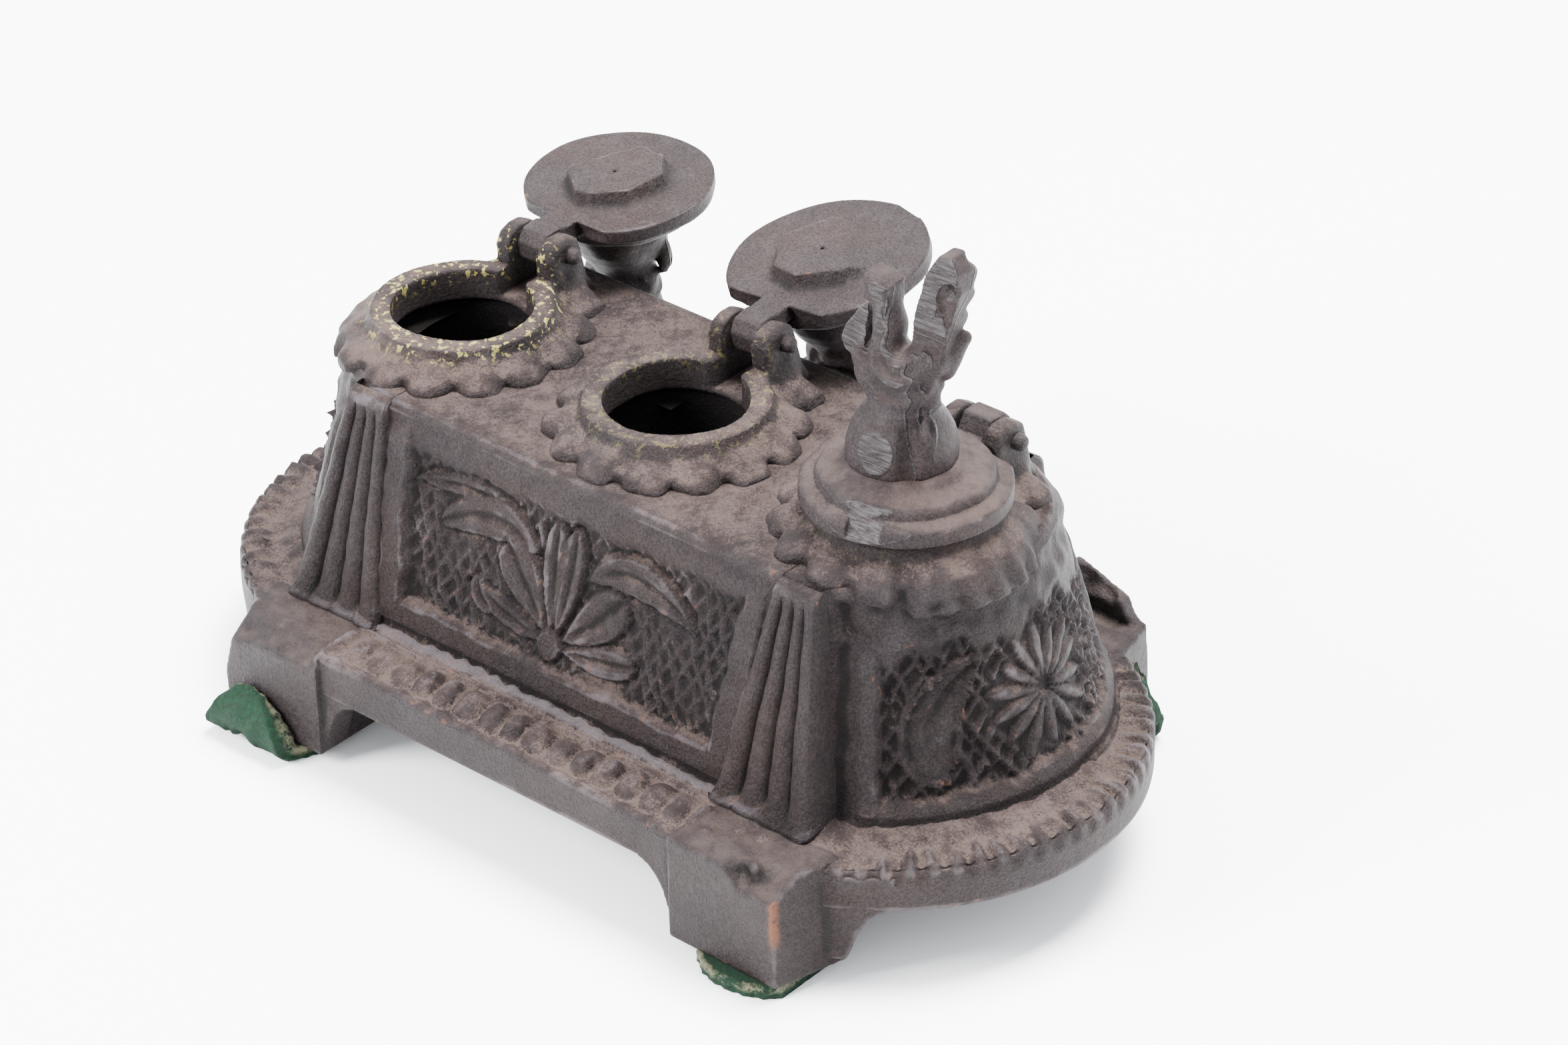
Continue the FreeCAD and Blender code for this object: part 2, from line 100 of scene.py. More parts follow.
def blendCut(a, b, soft):
    return -blendUnion(-a, b, soft)


# signed distances, negative inside

def ball(p, middle, radii):
    q = [(p[i] - middle[i]) / radii[i] for i in range(3)]
    length = np.sqrt(q[0] ** 2 + q[1] ** 2 + q[2] ** 2)
    return (length - 1) * min(radii)


def rod(p, start, end, thick, thin):
    start, end = np.array(start, float), np.array(end, float)
    along = end - start
    share = sum((p[i] - start[i]) * along[i] for i in range(3)) / (along @ along)
    share = np.clip(share, 0, 1)
    gap = np.sqrt(sum((p[i] - start[i] - share * along[i]) ** 2 for i in range(3)))
    return gap - (thick + (thin - thick) * share)


def block(p, low, high, corner):
    q = [np.abs(p[i] - (low[i] + high[i]) / 2) - (high[i] - low[i]) / 2 + corner for i in range(3)]
    outside = np.sqrt(sum(np.maximum(v, 0) ** 2 for v in q))
    return outside + np.minimum(np.maximum(np.maximum(q[0], q[1]), q[2]), 0) - corner


def outlineField(u, v, corners):
    # distance to a closed outline in a plane
    points = np.array(corners, float)
    best = np.full(u.shape, 1e9)
    inside = np.zeros(u.shape, bool)
    for (ax, ay), (bx, by) in zip(points, np.roll(points, -1, 0)):
        ex, ey = bx - ax, by - ay
        share = np.clip(((u - ax) * ex + (v - ay) * ey) / (ex * ex + ey * ey), 0, 1)
        best = np.minimum(best, (u - ax - share * ex) ** 2 + (v - ay - share * ey) ** 2)
        crosses = (ay > v) != (by > v)
        if ey:
            inside ^= crosses & (u < ax + (v - ay) * ex / ey)
    return np.where(inside, -1, 1) * np.sqrt(best)


def slabField(flat, across, low, high, corner):
    # an outline's distance given thickness, with rounded corners
    q = flat + corner
    r = np.abs(across - (low + high) / 2) - (high - low) / 2 + corner
    outside = np.sqrt(np.maximum(q, 0) ** 2 + np.maximum(r, 0) ** 2)
    return outside + np.minimum(np.maximum(q, r), 0) - corner


def space(low, high, step):
    return [a.astype(np.float32) for a in np.meshgrid(
        *[np.arange(low[i], high[i] + step, step) for i in range(3)], indexing="ij")]


def skin(field, low, step):
    # the surface where a sampled distance is zero, as points and four-sided faces
    solid = field < 0
    n = np.array(field.shape)
    cells = tuple(n - 1)

    def shifted(a, i, j, k):
        return a[i:i + cells[0], j:j + cells[1], k:k + cells[2]]

    count = np.zeros(cells, np.float32)
    where = np.zeros(cells + (3,), np.float32)
    for axis in range(3):
        other = [a for a in range(3) if a != axis]
        for first in (0, 1):
            for second in (0, 1):
                start = [0, 0, 0]
                start[other[0]], start[other[1]] = first, second
                end = list(start)
                end[axis] = 1
                f0, f1 = shifted(field, *start), shifted(field, *end)
                cross = (f0 < 0) != (f1 < 0)
                share = np.where(cross, f0 / np.where(cross, f0 - f1, 1), 0)
                count += cross
                for i in range(3):
                    part = start[i] + (share if i == axis else 0)
                    where[..., i] += np.where(cross, part, 0)
    mixed = count > 0
    number = np.full(cells, -1, np.int64)
    number[mixed] = np.arange(mixed.sum())
    grid = np.stack(np.nonzero(mixed), -1)
    points = (grid + where[mixed] / count[mixed][:, None]) * step + np.array(low)
    faces = []
    for axis in range(3):
        b, c = (axis + 1) % 3, (axis + 2) % 3
        s0 = np.take(solid, range(n[axis] - 1), axis)
        s1 = np.take(solid, range(1, n[axis]), axis)
        inner = [slice(None)] * 3
        inner[b] = slice(1, n[b] - 1)
        inner[c] = slice(1, n[c] - 1)
        a0, a1 = s0[tuple(inner)], s1[tuple(inner)]
        place = np.stack(np.nonzero(a0 != a1), -1)
        out = a0[tuple(place.T)]
        place[:, b] += 1
        place[:, c] += 1
        ring = []
        for db, dc in ((-1, -1), (0, -1), (0, 0), (-1, 0)):
            cell = place.copy()
            cell[:, b] += db
            cell[:, c] += dc
            ring.append(number[tuple(cell.T)])
        ring = np.stack(ring, -1)
        ring[~out] = ring[~out][:, ::-1]
        faces.append(ring)
    return points, np.concatenate(faces)


# meshes

def sheet(grid, closed=False, flip=False):
    rows, cols = grid.shape[:2]
    index = np.arange(rows * cols).reshape(rows, cols)
    if closed:
        index = np.hstack([index, index[:, :1]])
    corners = [index[:-1, :-1], index[:-1, 1:], index[1:, 1:], index[1:, :-1]]
    if flip:
        corners.reverse()
    return grid.reshape(-1, 3), np.stack(corners, -1).reshape(-1, 4)


def setLayer(mesh, label, value):
    layer = mesh.attributes.new(label, "FLOAT", "POINT")
    layer.data.foreach_set("value", np.asarray(value, np.float32))


def makePiece(name, parts, shift=(0, 0, 0), turn=None, flats=()):
    starts = np.cumsum([0] + [len(p) for p, f in parts])
    points = np.concatenate([p for p, f in parts]).astype(float)
    faces = np.concatenate([f + start for start, (p, f) in zip(starts, parts)])
    mesh = bpy.data.meshes.new(name)
    mesh.from_pydata((points * 0.001).tolist(), [], faces.tolist())
    mesh.validate()
    place = Matrix.Translation(Vector((shift[0], shift[1] + rowY, shift[2] + soleZ)) * 0.001)
    # how level each point lies when the lids are shut, and which points lie on filed flats
    setLayer(mesh, "level", readPoints(mesh.vertex_normals, "vector")[:, 2])
    filed = np.zeros(len(points))
    for nx, ny, nz, away in flats:
        gap = np.abs(points @ np.array([nx, ny, nz]) - away)
        filed = np.maximum(filed, smooth(0.14, 0.04, gap))
    setLayer(mesh, "filed", filed)
    mesh.transform(place @ (turn or Matrix.Identity(4)))
    mesh.shade_smooth()
    piece = bpy.data.objects.new(name, mesh)
    bpy.context.scene.collection.objects.link(piece)
    return piece


def readPoints(items, label):
    # three numbers from each of a mesh's points
    values = np.empty(len(items) * 3, np.float32)
    items.foreach_get(label, values)
    return values.reshape(-1, 3)


def placesOf(piece):
    # a piece's points in the drawing's own millimetres
    return readPoints(piece.data.vertices, "co") * 1000 - np.array([0, rowY, soleZ])


crestAndHollowSpans = {"crestFrom": 0.015, "crestSpan": 0.13, "hollowSpan": 0.28}


def markCrestsAndHollows(piece, passes=(3, 16)):
    # how hollow or how proud each point is, for dust and painted shade in hollows and for rubbed edges
    mesh = piece.data
    n = len(mesh.vertices)
    points = readPoints(mesh.vertices, "co") * 1000
    normals = readPoints(mesh.vertex_normals, "vector")
    edges = np.empty(len(mesh.edges) * 2, np.int32)
    mesh.edges.foreach_get("vertices", edges)
    a, b = edges.reshape(-1, 2).T
    count = np.maximum(np.bincount(a, minlength=n) + np.bincount(b, minlength=n), 1)
    soft = points.copy()
    for turn in range(passes[1]):
        for i in range(3):
            total = np.bincount(a, soft[b, i], n) + np.bincount(b, soft[a, i], n)
            soft[:, i] = total / count
        if turn == passes[0]:
            fine = ((soft - points) * normals).sum(1)
    broad = ((soft - points) * normals).sum(1)
    setLayer(mesh, "crest", np.clip((-fine - crestAndHollowSpans["crestFrom"]) / crestAndHollowSpans["crestSpan"], 0, 1))
    setLayer(mesh, "hollow", np.clip(broad / crestAndHollowSpans["hollowSpan"], -1, 1))


def finishPiece(piece, material, body, slot, *nodes):
    piece.data.materials.append(material)
    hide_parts(*nodes)
    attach(piece, body)


# materials

class Wire:
    # a socket that can be used in sums
    def __init__(self, shop, socket):
        self.shop = shop
        self.socket = socket

    def __add__(self, other):
        return self.shop.sum("ADD", self, other)

    def __sub__(self, other):
        return self.shop.sum("SUBTRACT", self, other)

    def __rsub__(self, other):
        return self.shop.sum("SUBTRACT", other, self)

    def __mul__(self, other):
        return self.shop.sum("MULTIPLY", self, other)

    __radd__ = __add__
    __rmul__ = __mul__


class Finish:
    def __init__(self, name):
        self.material = bpy.data.materials.new(name)
        self.material.use_nodes = True
        self.tree = self.material.node_tree
        self.tree.nodes.clear()

    def node(self, kind, settings=None, sockets=None, out=0):
        made = self.tree.nodes.new("ShaderNode" + kind)
        for key, value in (settings or {}).items():
            setattr(made, key, value)
        for key, value in (sockets or {}).items():
            socket = made.inputs[key]
            if isinstance(value, Wire):
                self.tree.links.new(value.socket, socket)
            elif isinstance(value, tuple) and len(value) == 3 and socket.type == "RGBA":
                socket.default_value = (*value, 1)
            else:
                socket.default_value = value
        return Wire(self, made.outputs[out])

    def sum(self, operation, a, b):
        return self.node("Math", {"operation": operation}, {0: a, 1: b})

    def limit(self, value, low, high):
        return self.node("MapRange", {"interpolation_type": "SMOOTHSTEP"},
                         {"Value": value, "From Min": low, "From Max": high})

    def mix(self, share, a, b):
        return self.node("Mix", {"data_type": "RGBA"}, {"Factor": share, 6: a, 7: b}, out=2)

    def grain(self, scale, detail=3.0, rough=0.55, stretch=None):
        # noise through the metal; scale is in waves to the metre
        place = self.node("TexCoord", out=3)
        if stretch:
            place = self.node("Mapping", {}, {"Vector": place, "Scale": stretch})
        return self.node("TexNoise", {}, {"Vector": place, "Scale": scale, "Detail": detail,
                                          "Roughness": rough})

    def attribute(self, name):
        return self.node("Attribute", {"attribute_name": name}, out=2)

    def done(self, sockets, height=None, depth=0.0002, strength=0.6):
        if height is not None:
            sockets["Normal"] = self.node("Bump", {}, {"Height": height, "Distance": depth,
                                                       "Strength": strength})
        surface = self.node("BsdfPrincipled", {}, sockets)
        self.tree.links.new(surface.socket, self.tree.nodes.new("ShaderNodeOutputMaterial").inputs[0])
        return self.material


bronzeTones = {
    "patina": (0.0175, 0.0122, 0.0130),
    "patinaWarm": (0.0255, 0.0162, 0.0150),
    # near-black used for dark pores in the grain and for painted shade in hollows
    "poreAndShade": (0.0028, 0.0021, 0.0021),
    "rubbed": (0.034, 0.0275, 0.0285),
    "worn": (0.088, 0.076, 0.082),
    "filed": (0.070, 0.065, 0.067),
    "filedDark": (0.020, 0.0175, 0.018),
    "dust": (0.074, 0.052, 0.045),
    "copper": (0.110, 0.043, 0.020),
    "verdigris": (0.25, 0.215, 0.065),
    # near-black for ink in the cups and for painted shade on the feet
    "ink": (0.002, 0.0018, 0.0017),
}
bronzeGrains = {"broad": (45, 3), "cloud": (260, 5, 0.65), "fine": (1300, 4, 0.7), "grit": (2700, 4, 0.75),
                "strokes": (2600, 3, 0.7, (0.05, 1, 1)), "brushed": (1500, 3, 0.7, (1, 1, 0.05)),
                "spots": (520, 2, 0.5), "specks": (900, 2, 0.6)}
bronzeBump = {"depth": 0.0008, "strength": 1.0, "grit": 0.9, "cloud": 0.5, "strokes": 0.8, "brushed": 0.4}


def bronze(name, dust, rubbed, sand, verdigris=0.0, dark=0.0, brushed=0.0):
    # cast bronze: dust and rubbed come from 0 to 1, sand is how rough the casting's skin is
    shop = Finish(name)
    tone = bronzeTones
    broad, cloud, fine, grit, strokes = (
        shop.grain(*bronzeGrains[k]) for k in ("broad", "cloud", "fine", "grit", "strokes"))
    hollow, crest, level, filed, bare = (
        shop.attribute(k) for k in ("hollow", "crest", "level", "filed", "bare"))
    # the metal under its patina, darker in its pores, with painted shade darkening its hollows
    coat = shop.mix(shop.limit(broad, 0.35, 0.68), tone["patina"], tone["patinaWarm"])
    coat = shop.mix(shop.limit(cloud, 0.40, 0.72) * 0.5, coat, tone["rubbed"])
    coat = shop.mix(shop.limit(grit, 0.42, 0.60) * 0.75, coat, tone["poreAndShade"])
    # painted shade: hollows mixed towards near-black
    paintedHollowShade = shop.limit(hollow + (fine - 0.5) * 0.6, 0.10, 0.8)
    coat = shop.mix(paintedHollowShade * 0.8, coat, tone["poreAndShade"])
    # dust lies on what is level and in what is hollow
    flat = shop.limit(level + (cloud - 0.5) * 0.7, 0.30, 0.95)
    patchy = (cloud - 0.5) * 1.3 + (grit - 0.5) * 2.4 + (broad - 0.5) * 0.8
    settled = shop.limit(hollow * 0.22 + flat * 0.66 + patchy, 0.30, 1.0) * dust
    coat = shop.mix(settled, coat, tone["dust"])
    # proud edges are rubbed bright
    patchy = (cloud - 0.5) * 1.1 + (broad - 0.5) * 1.8 + (grit - 0.5) * 0.6
    worn = shop.limit(crest * 0.62 + bare * 0.8 + patchy, 0.45, 1.05) * rubbed
    coat = shop.mix(worn, coat, tone["worn"])
    scratched = shop.mix(shop.limit(strokes, 0.35, 0.65), tone["filedDark"], tone["filed"])
    coat = shop.mix(filed * 0.7, coat, scratched)
    # copper shows in small spots and along broken edges
    spots = shop.limit(shop.grain(*bronzeGrains["spots"]), 0.66, 0.70)
    spots = spots * shop.limit(crest + (cloud - 0.5), 0.35, 0.8) * 0.35
    edge = shop.attribute("copper") * shop.limit(cloud + (fine - 0.5) * 0.5, 0.36, 0.5)
    coat = shop.mix(spots + edge, coat, tone["copper"])
    if verdigris:
        specks = shop.limit(shop.grain(*bronzeGrains["specks"]), 0.56, 0.63)
        coat = shop.mix(specks * shop.attribute("green") * verdigris, coat, tone["verdigris"])
    # dark mixes in near-black: ink staining in the cups, painted shade on the feet
    if dark:
        coat = shop.mix(dark, coat, tone["ink"])
    rough = 0.52 + settled * 0.3 - worn * 0.12 - filed * 0.12 + (fine - 0.5) * 0.2
    metal = 0.08 + worn * 0.5 + filed * 0.4 - settled * 0.05
    height = fine * sand + grit * (bronzeBump["grit"] * sand) + cloud * bronzeBump["cloud"]
    height = height + strokes * (filed * bronzeBump["strokes"])
    if brushed:
        height = height + shop.grain(*bronzeGrains["brushed"]) * (bronzeBump["brushed"] * brushed)
    return shop.done({"Base Color": coat, "Roughness": rough, "Metallic": metal,
                      "Specular IOR Level": 0.13}, height, bronzeBump["depth"], bronzeBump["strength"])


feltTones = {
    "low": (0.0002, 0.0045, 0.0016), "high": (0.0012, 0.036, 0.0125),
    "clump": (0.0004, 0.015, 0.0052), "glue": (0.16, 0.15, 0.095),
}


def feltFinish():
    shop = Finish("greenFelt")
    wool = shop.grain(1400, 6, 0.8)
    clump = shop.grain(240, 3, 0.6)
    coat = shop.mix(shop.limit(wool, 0.3, 0.7), feltTones["low"], feltTones["high"])
    coat = shop.mix(shop.limit(clump, 0.35, 0.7) * 0.4, coat, feltTones["clump"])
    glue = shop.attribute("glue") * shop.limit(wool + (clump - 0.5), 0.35, 0.6)
    coat = shop.mix(glue * 0.8, coat, feltTones["glue"])
    return shop.done({"Base Color": coat, "Roughness": 0.95, "Sheen Weight": 0.04, "Sheen Roughness": 0.5,
                      "Specular IOR Level": 0.1}, wool + clump * 0.6, 0.0008, 1.0)


plinthBronze = bronze("plinthBronze", dust=0.8, rubbed=0.6, sand=0.6)
# this finish dresses the feet; its dark=0.25 is painted shade on their faces
feetBronzePaintedShade = bronze("feetBronzePaintedShade", dust=0.45, rubbed=0.5, sand=0.3, brushed=0.5, dark=0.25)
casketBronze = bronze("casketBronze", dust=0.75, rubbed=0.75, sand=0.9)
collarBronze = bronze("collarBronze", dust=0.85, rubbed=0.6, sand=0.7, verdigris=1.0)
lidBronze = bronze("lidBronze", dust=0.5, rubbed=0.6, sand=0.3)
birdBronze = bronze("birdBronze", dust=0.4, rubbed=0.6, sand=0.3)
pinBronze = bronze("pinBronze", dust=0.35, rubbed=0.8, sand=0.5)
cupBronze = bronze("cupBronze", dust=0.2, rubbed=0.1, sand=1.0, dark=0.8)
felt = feltFinish()
print("materials ready")


# floor, light and camera

studio = {
    "world": 2.75, "sky": (0.95, 0.97, 1.0, 1), "paper": (0.965, 0.97, 0.985), "floor": 3.0,
    # watts, width and place of each lamp
    "lamps": {"key": (90.0, 0.55, (0.05, 0.30, 1.05)), "side": (42.0, 0.45, (-0.45, -0.75, 0.60))},
}


def makeStudio():
    plane = bpy.data.meshes.new("floor")
    r = studio["floor"]
    plane.from_pydata([(-r, -r, 0), (r, -r, 0), (r, r, 0), (-r, r, 0)], [], [(0, 1, 2, 3)])
    floor = bpy.data.objects.new("floor", plane)
    bpy.context.scene.collection.objects.link(floor)
    floor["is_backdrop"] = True
    paper = Finish("paleFloor")
    plane.materials.append(paper.done({"Base Color": studio["paper"], "Roughness": 0.5,
                                       "Specular IOR Level": 0.3}))
    world = bpy.data.worlds.new("studio")
    world.use_nodes = True
    sky = world.node_tree.nodes["Background"]
    sky.inputs[0].default_value = studio["sky"]
    sky.inputs[1].default_value = studio["world"]
    bpy.context.scene.world = world
    for name, (power, size, place) in studio["lamps"].items():
        lamp = bpy.data.lights.new(name, "AREA")
        lamp.energy = power
        lamp.size = size
        holder = bpy.data.objects.new(name, lamp)
        holder.location = place
        aim = Vector((0, 0, 0.04)) - Vector(place)
        holder.rotation_euler = aim.to_track_quat("-Z", "Y").to_euler()
        bpy.context.scene.collection.objects.link(holder)


def makeCamera():
    # where the camera stands, in millimetres like the shapes, and how it is turned
    stand = {"azimuth": 41.127, "elevation": 32.070, "roll": -0.911, "distance": 692.66,
             "target": (17.41, 3.29, 39.65), "lens": 109.43}
    az, el, roll = (math.radians(stand[k]) for k in ("azimuth", "elevation", "roll"))
    back = Vector((math.sin(az) * math.cos(el), -math.cos(az) * math.cos(el), math.sin(el)))
    right = (-back).cross(Vector((0, 0, 1))).normalized()
    up = right.cross(-back)
    across = right * math.cos(roll) + up * math.sin(roll)
    upright = -right * math.sin(roll) + up * math.cos(roll)
    lens = bpy.data.cameras.new("camera")
    lens.lens = stand["lens"]
    lens.sensor_width = 36
    lens.clip_start = 0.01
    camera = bpy.data.objects.new("camera", lens)
    place = Vector(stand["target"]) + back * stand["distance"] + Vector((0, rowY, soleZ))
    turn = Matrix((across, upright, back)).transposed().to_4x4()
    camera.matrix_world = Matrix.Translation(place * 0.001) @ turn
    bpy.context.scene.collection.objects.link(camera)
    bpy.context.scene.camera = camera


makeStudio()
makeCamera()
print("studio ready")


# casket

casket = {
    "half": 36.3, "middleY": 3.2, "baseRadius": 33.0, "waistRadius": 29.8, "topRadius": 24.4,
    "backBase": 31.5, "backTop": 27.4, "wall": 3.0, "edge": 1.3,
    "panelLow": 22.7, "panelHigh": 45.7, "panelHalf": 30.3, "panelSpread": 2.2, "panelDepth": 1.25,
    "netPitch": 2.25, "netAngle": 60, "netRise": 0.85,
    # leaves of the front ornament: base, bend and tip as (across, height), half-width, rise, swell
    "leaves": [
        ((-11.0, 42.2), (-20.0, 44.2), (-31.0, 41.0), 1.7, 0.9, (0.6, 0.8)),
        ((-6.0, 38.2), (-14.5, 43.4), (-25.2, 36.4), 3.0, 1.0, (0.7, 0.6)),
        ((4.4, 37.8), (11.0, 44.4), (24.2, 37.4), 2.7, 1.0, (0.7, 0.7)),
        ((-1.6, 27.6), (-2.6, 36.0), (-2.7, 44.4), 2.1, 1.15, (0.9, 0.5)),
        ((-0.6, 27.6), (1.1, 36.0), (0.9, 44.4), 2.1, 1.15, (0.9, 0.5)),
        ((-2.8, 27.6), (-7.0, 32.8), (-11.8, 38.0), 3.5, 1.1, (1.0, 0.4)),
        ((0.6, 27.4), (6.0, 31.0), (11.2, 37.4), 3.4, 1.1, (1.0, 0.45)),
        ((-3.0, 26.2), (-9.0, 26.4), (-15.4, 29.0), 1.8, 0.9, (0.8, 0.5)),
        ((-13.0, 27.2), (-16.4, 27.0), (-16.6, 30.8), 1.8, 0.9, (0.4, 0.3)),
        ((0.8, 26.0), (7.0, 26.0), (14.4, 28.2), 2.3, 0.9, (0.9, 0.4)),
    ],
    "bossAt": (-1.5, 26.0), "bossRadius": 2.4,
    "endLow": 20.9, "endHigh": 43.0, "endHalfAngle": 52, "petals": 14, "flowerAt": (0.5, 31.6),
    "mango": ((-18.6, 23.4), (-24.0, 33.0), (-12.0, 39.4), 3.9, 0.9, (0.5, 0.9)),
}


def wallRadius(z):
    return np.interp(z, (levels["deck"], levels["waist"], levels["top"]),
                     (casket["baseRadius"], casket["waistRadius"], casket["topRadius"]))


def backWall(z):
    return np.interp(z, (levels["deck"], levels["top"]), (casket["backBase"], casket["backTop"]))


def loop(half, steps):
    # walk round a long shape with round ends: middle x, outward way, which side, place along it
    front, arc, back, farArc = steps
    rows = []
    for x in np.linspace(-half, half, front, endpoint=False):
        rows.append((x, 0, -1, 0, x))
    for a in np.linspace(-90, 90, arc, endpoint=False):
        rows.append((half, math.cos(math.radians(a)), math.sin(math.radians(a)), 1, a))
    for x in np.linspace(half, -half, back, endpoint=False):
        rows.append((x, 0, 1, 2, x))
    for a in np.linspace(90, 270, farArc, endpoint=False):
        rows.append((-half, math.cos(math.radians(a)), math.sin(math.radians(a)), 3, 180 - a))
    return np.array(rows).T


def leafOn(u, v, leaf):
    base, bend, tip, half, rise, swell = leaf
    t = np.linspace(0, 1, 56)
    path = [(1 - t) ** 2 * base[i] + 2 * (1 - t) * t * bend[i] + t * t * tip[i] for i in (0, 1)]
    away = (u[..., None] - path[0]) ** 2 + (v[..., None] - path[1]) ** 2
    along = t[away.argmin(-1)]
    away = np.sqrt(away.min(-1))
    a, b = swell
    most = (a / (a + b)) ** a * (b / (a + b)) ** b
    width = half * along ** a * (1 - along) ** b / most + 0.12
    inside = smooth(-0.15, 0.35, width - away)
    slope = 1 - 0.25 * np.clip(away / width, 0, 1) ** 2
    top = rise * inside * slope - 0.75 * hump(away, 0.20 * width + 0.12) * smooth(0.05, 0.3, along) * inside
    return inside, top, hump(away - width - 0.4, 0.4)


def net(u, v, pitch, degrees, rise):
    lines = 0
    for way in (-1, 1):
        a = math.radians(degrees) * way
        turn = (u * math.sin(a) + v * math.cos(a)) / pitch
        lines = np.maximum(lines, smooth(0.45, 0.95, np.abs((turn % 1) * 2 - 1)) * (1 if way > 0 else 0.8))
    return lines * rise


def frontRelief(x, z):
    share = (z - casket["panelLow"]) / (casket["panelHigh"] - casket["panelLow"])
    wander = 0.25 * np.sin(z * 0.5 + x * 0.11) + 0.15 * np.sin(z * 1.3)
    side = casket["panelHalf"] + casket["panelSpread"] * share - np.abs(x) + wander
    foot = z - casket["panelLow"] + 0.2 * np.sin(x * 0.35) + 0.12 * np.sin(x * 0.9 + 1)
    sunk = smooth(0, 0.8, side) * smooth(0, 0.5, foot) * smooth(-0.6, 2.0,
                                                                casket["panelHigh"] + 0.3 * np.sin(x * 0.6) - z)
    slip = 0.5 * np.sin(z * 0.9 + 0.4 * x) + 0.4 * np.sin(x * 0.7)
    rough = uneven(x, 0 * x, z, 1.6, 7)
    ground = net(x + slip * 0.6, z + slip * 0.5, casket["netPitch"], casket["netAngle"], casket["netRise"])
    ground *= np.clip(0.62 + 0.3 * np.sin(x * 0.31 + 2) * np.sin(z * 0.27 + 1) + 0.35 * rough, 0.1, 1.3)
    covered = np.zeros(x.shape)
    raised = np.zeros(x.shape)
    cutLine = np.zeros(x.shape)
    for leaf in casket["leaves"]:
        inside, top, line = leafOn(x, z, leaf)
        raised = raised * (1 - inside) + top * inside
        covered = np.maximum(covered * (1 - 0.5 * line), inside)
        cutLine = np.maximum(cutLine * (1 - inside), line)
    boss = np.hypot(x - casket["bossAt"][0], z - casket["bossAt"][1])
    inside = smooth(-0.2, 0.4, casket["bossRadius"] - boss)
    raised = raised * (1 - inside) + inside * (1.35 - 0.05 * boss ** 2)
    covered = np.maximum(covered, inside)
    height = sunk * (-casket["panelDepth"] + raised + (1 - covered) * (ground - 0.5 * cutLine) + 0.06 * rough)
    # broad raised stiles beside the panel and the sill under it
    out = -side
    stile = 0.75 * smooth(-0.1, 0.5, out) * smooth(5.0, 4.1, out) * smooth(18.0, 21.0,
                                                                           z) * (1 - smooth(45.5, 48.5, z))
    sill = 0.55 * smooth(0.1, -0.3, foot) * smooth(18.7, 19.5, z) * smooth(5.0, 4.1, out)
    ditch = -0.6 * hump(out - 6.0, 0.9)
    heel = 0.9 * np.exp(-np.maximum(z - levels["deck"], 0) / 0.8)
    return height + np.maximum(stile, sill) + ditch + heel


def endRelief(degrees, z):
    u = degrees * math.pi / 180 * 31
    side = (casket["endHalfAngle"] - np.abs(degrees)) * math.pi / 180 * 31 + 0.2 * np.sin(z * 0.8)
    edge = 1.2 * np.sin(degrees * 0.16) + 0.9 * np.sin(degrees * 0.43 + 1) - 1.5 * smooth(10, 40, degrees)
    foot = z - casket["endLow"] + 0.2 * np.sin(u * 0.5)
    sunk = smooth(0, 1.0, side) * smooth(0, 0.7, foot) * smooth(-0.8, 3.6, casket["endHigh"] + edge - z)
    rough = uneven(u, 0 * u, z, 1.7, 8)
    slip = 0.35 * np.sin(z * 0.7 + 0.5 * u) + 0.3 * np.sin(u * 0.8 + 0.4 * z)
    ground = net(u + slip, z + 0.5 * slip, 2.4, 58, 0.95) * np.clip(0.75 + 0.5 * rough, 0.15, 1.4)
    cu, cz = casket["flowerAt"]
    du, dz = (u - cu) / 1.15, (z - cz) / 0.98
    r = np.hypot(du, dz)
    angle = np.arctan2(dz, du) / (2 * math.pi) * casket["petals"]
    turn = angle % 1 - 0.5
    reach = 9.6 + 0.9 * np.sin(np.floor(angle) * 2.2)
    share = np.clip((r - 1.2) / (reach - 1.2), 0, 1)
    half = 1.15 * share ** 0.6 * (1 - share) ** 0.45 * 1.8
    across = np.abs(turn) * 2 * math.pi / casket["petals"] * r
    blade = smooth(-0.2, 0.3, half - across) * (r > 1.2) * (r < reach)
    flower = blade * (0.8 - 0.3 * np.clip(across / np.maximum(half, 0.2), 0, 1) ** 2)
    disc = smooth(reach + 0.6, reach - 0.6, r)
    inside, top, line = leafOn(u, z, casket["mango"])
    leaf = inside * 0.15 + line * 1.15 + np.maximum(top - 0.5, 0) * 0.8
    ground = ground * (1 - disc) * (1 - inside) + 0.12 * rough
    height = sunk * (-1.2 + flower + leaf * (1 - disc) + ground)
    out = -side
    stile = 0.5 * smooth(-0.2, 0.6, out) * smooth(3.4, 2.4, out) * smooth(18.5, 21,
                                                                          z) * (1 - smooth(40, 44, z))
    sill = 0.75 * hump(z - 19.6, 1.1) * smooth(3.4, 2.0, out)
    gutter = -0.9 * hump(out - 5.6, 1.7)
    lump = 0.5 * smooth(42, 46, z) * uneven(u, 0 * u, z, 3.2, 9) + 0.35 * hump(z - 43.8 - 0.5 * edge,
                                                                               0.8) * smooth(20, 30,
                                                                                             -degrees)
    heel = 1.5 * np.exp(-np.maximum(z - levels["deck"], 0) / 1.1)
    return height + stile + sill + gutter + lump + heel


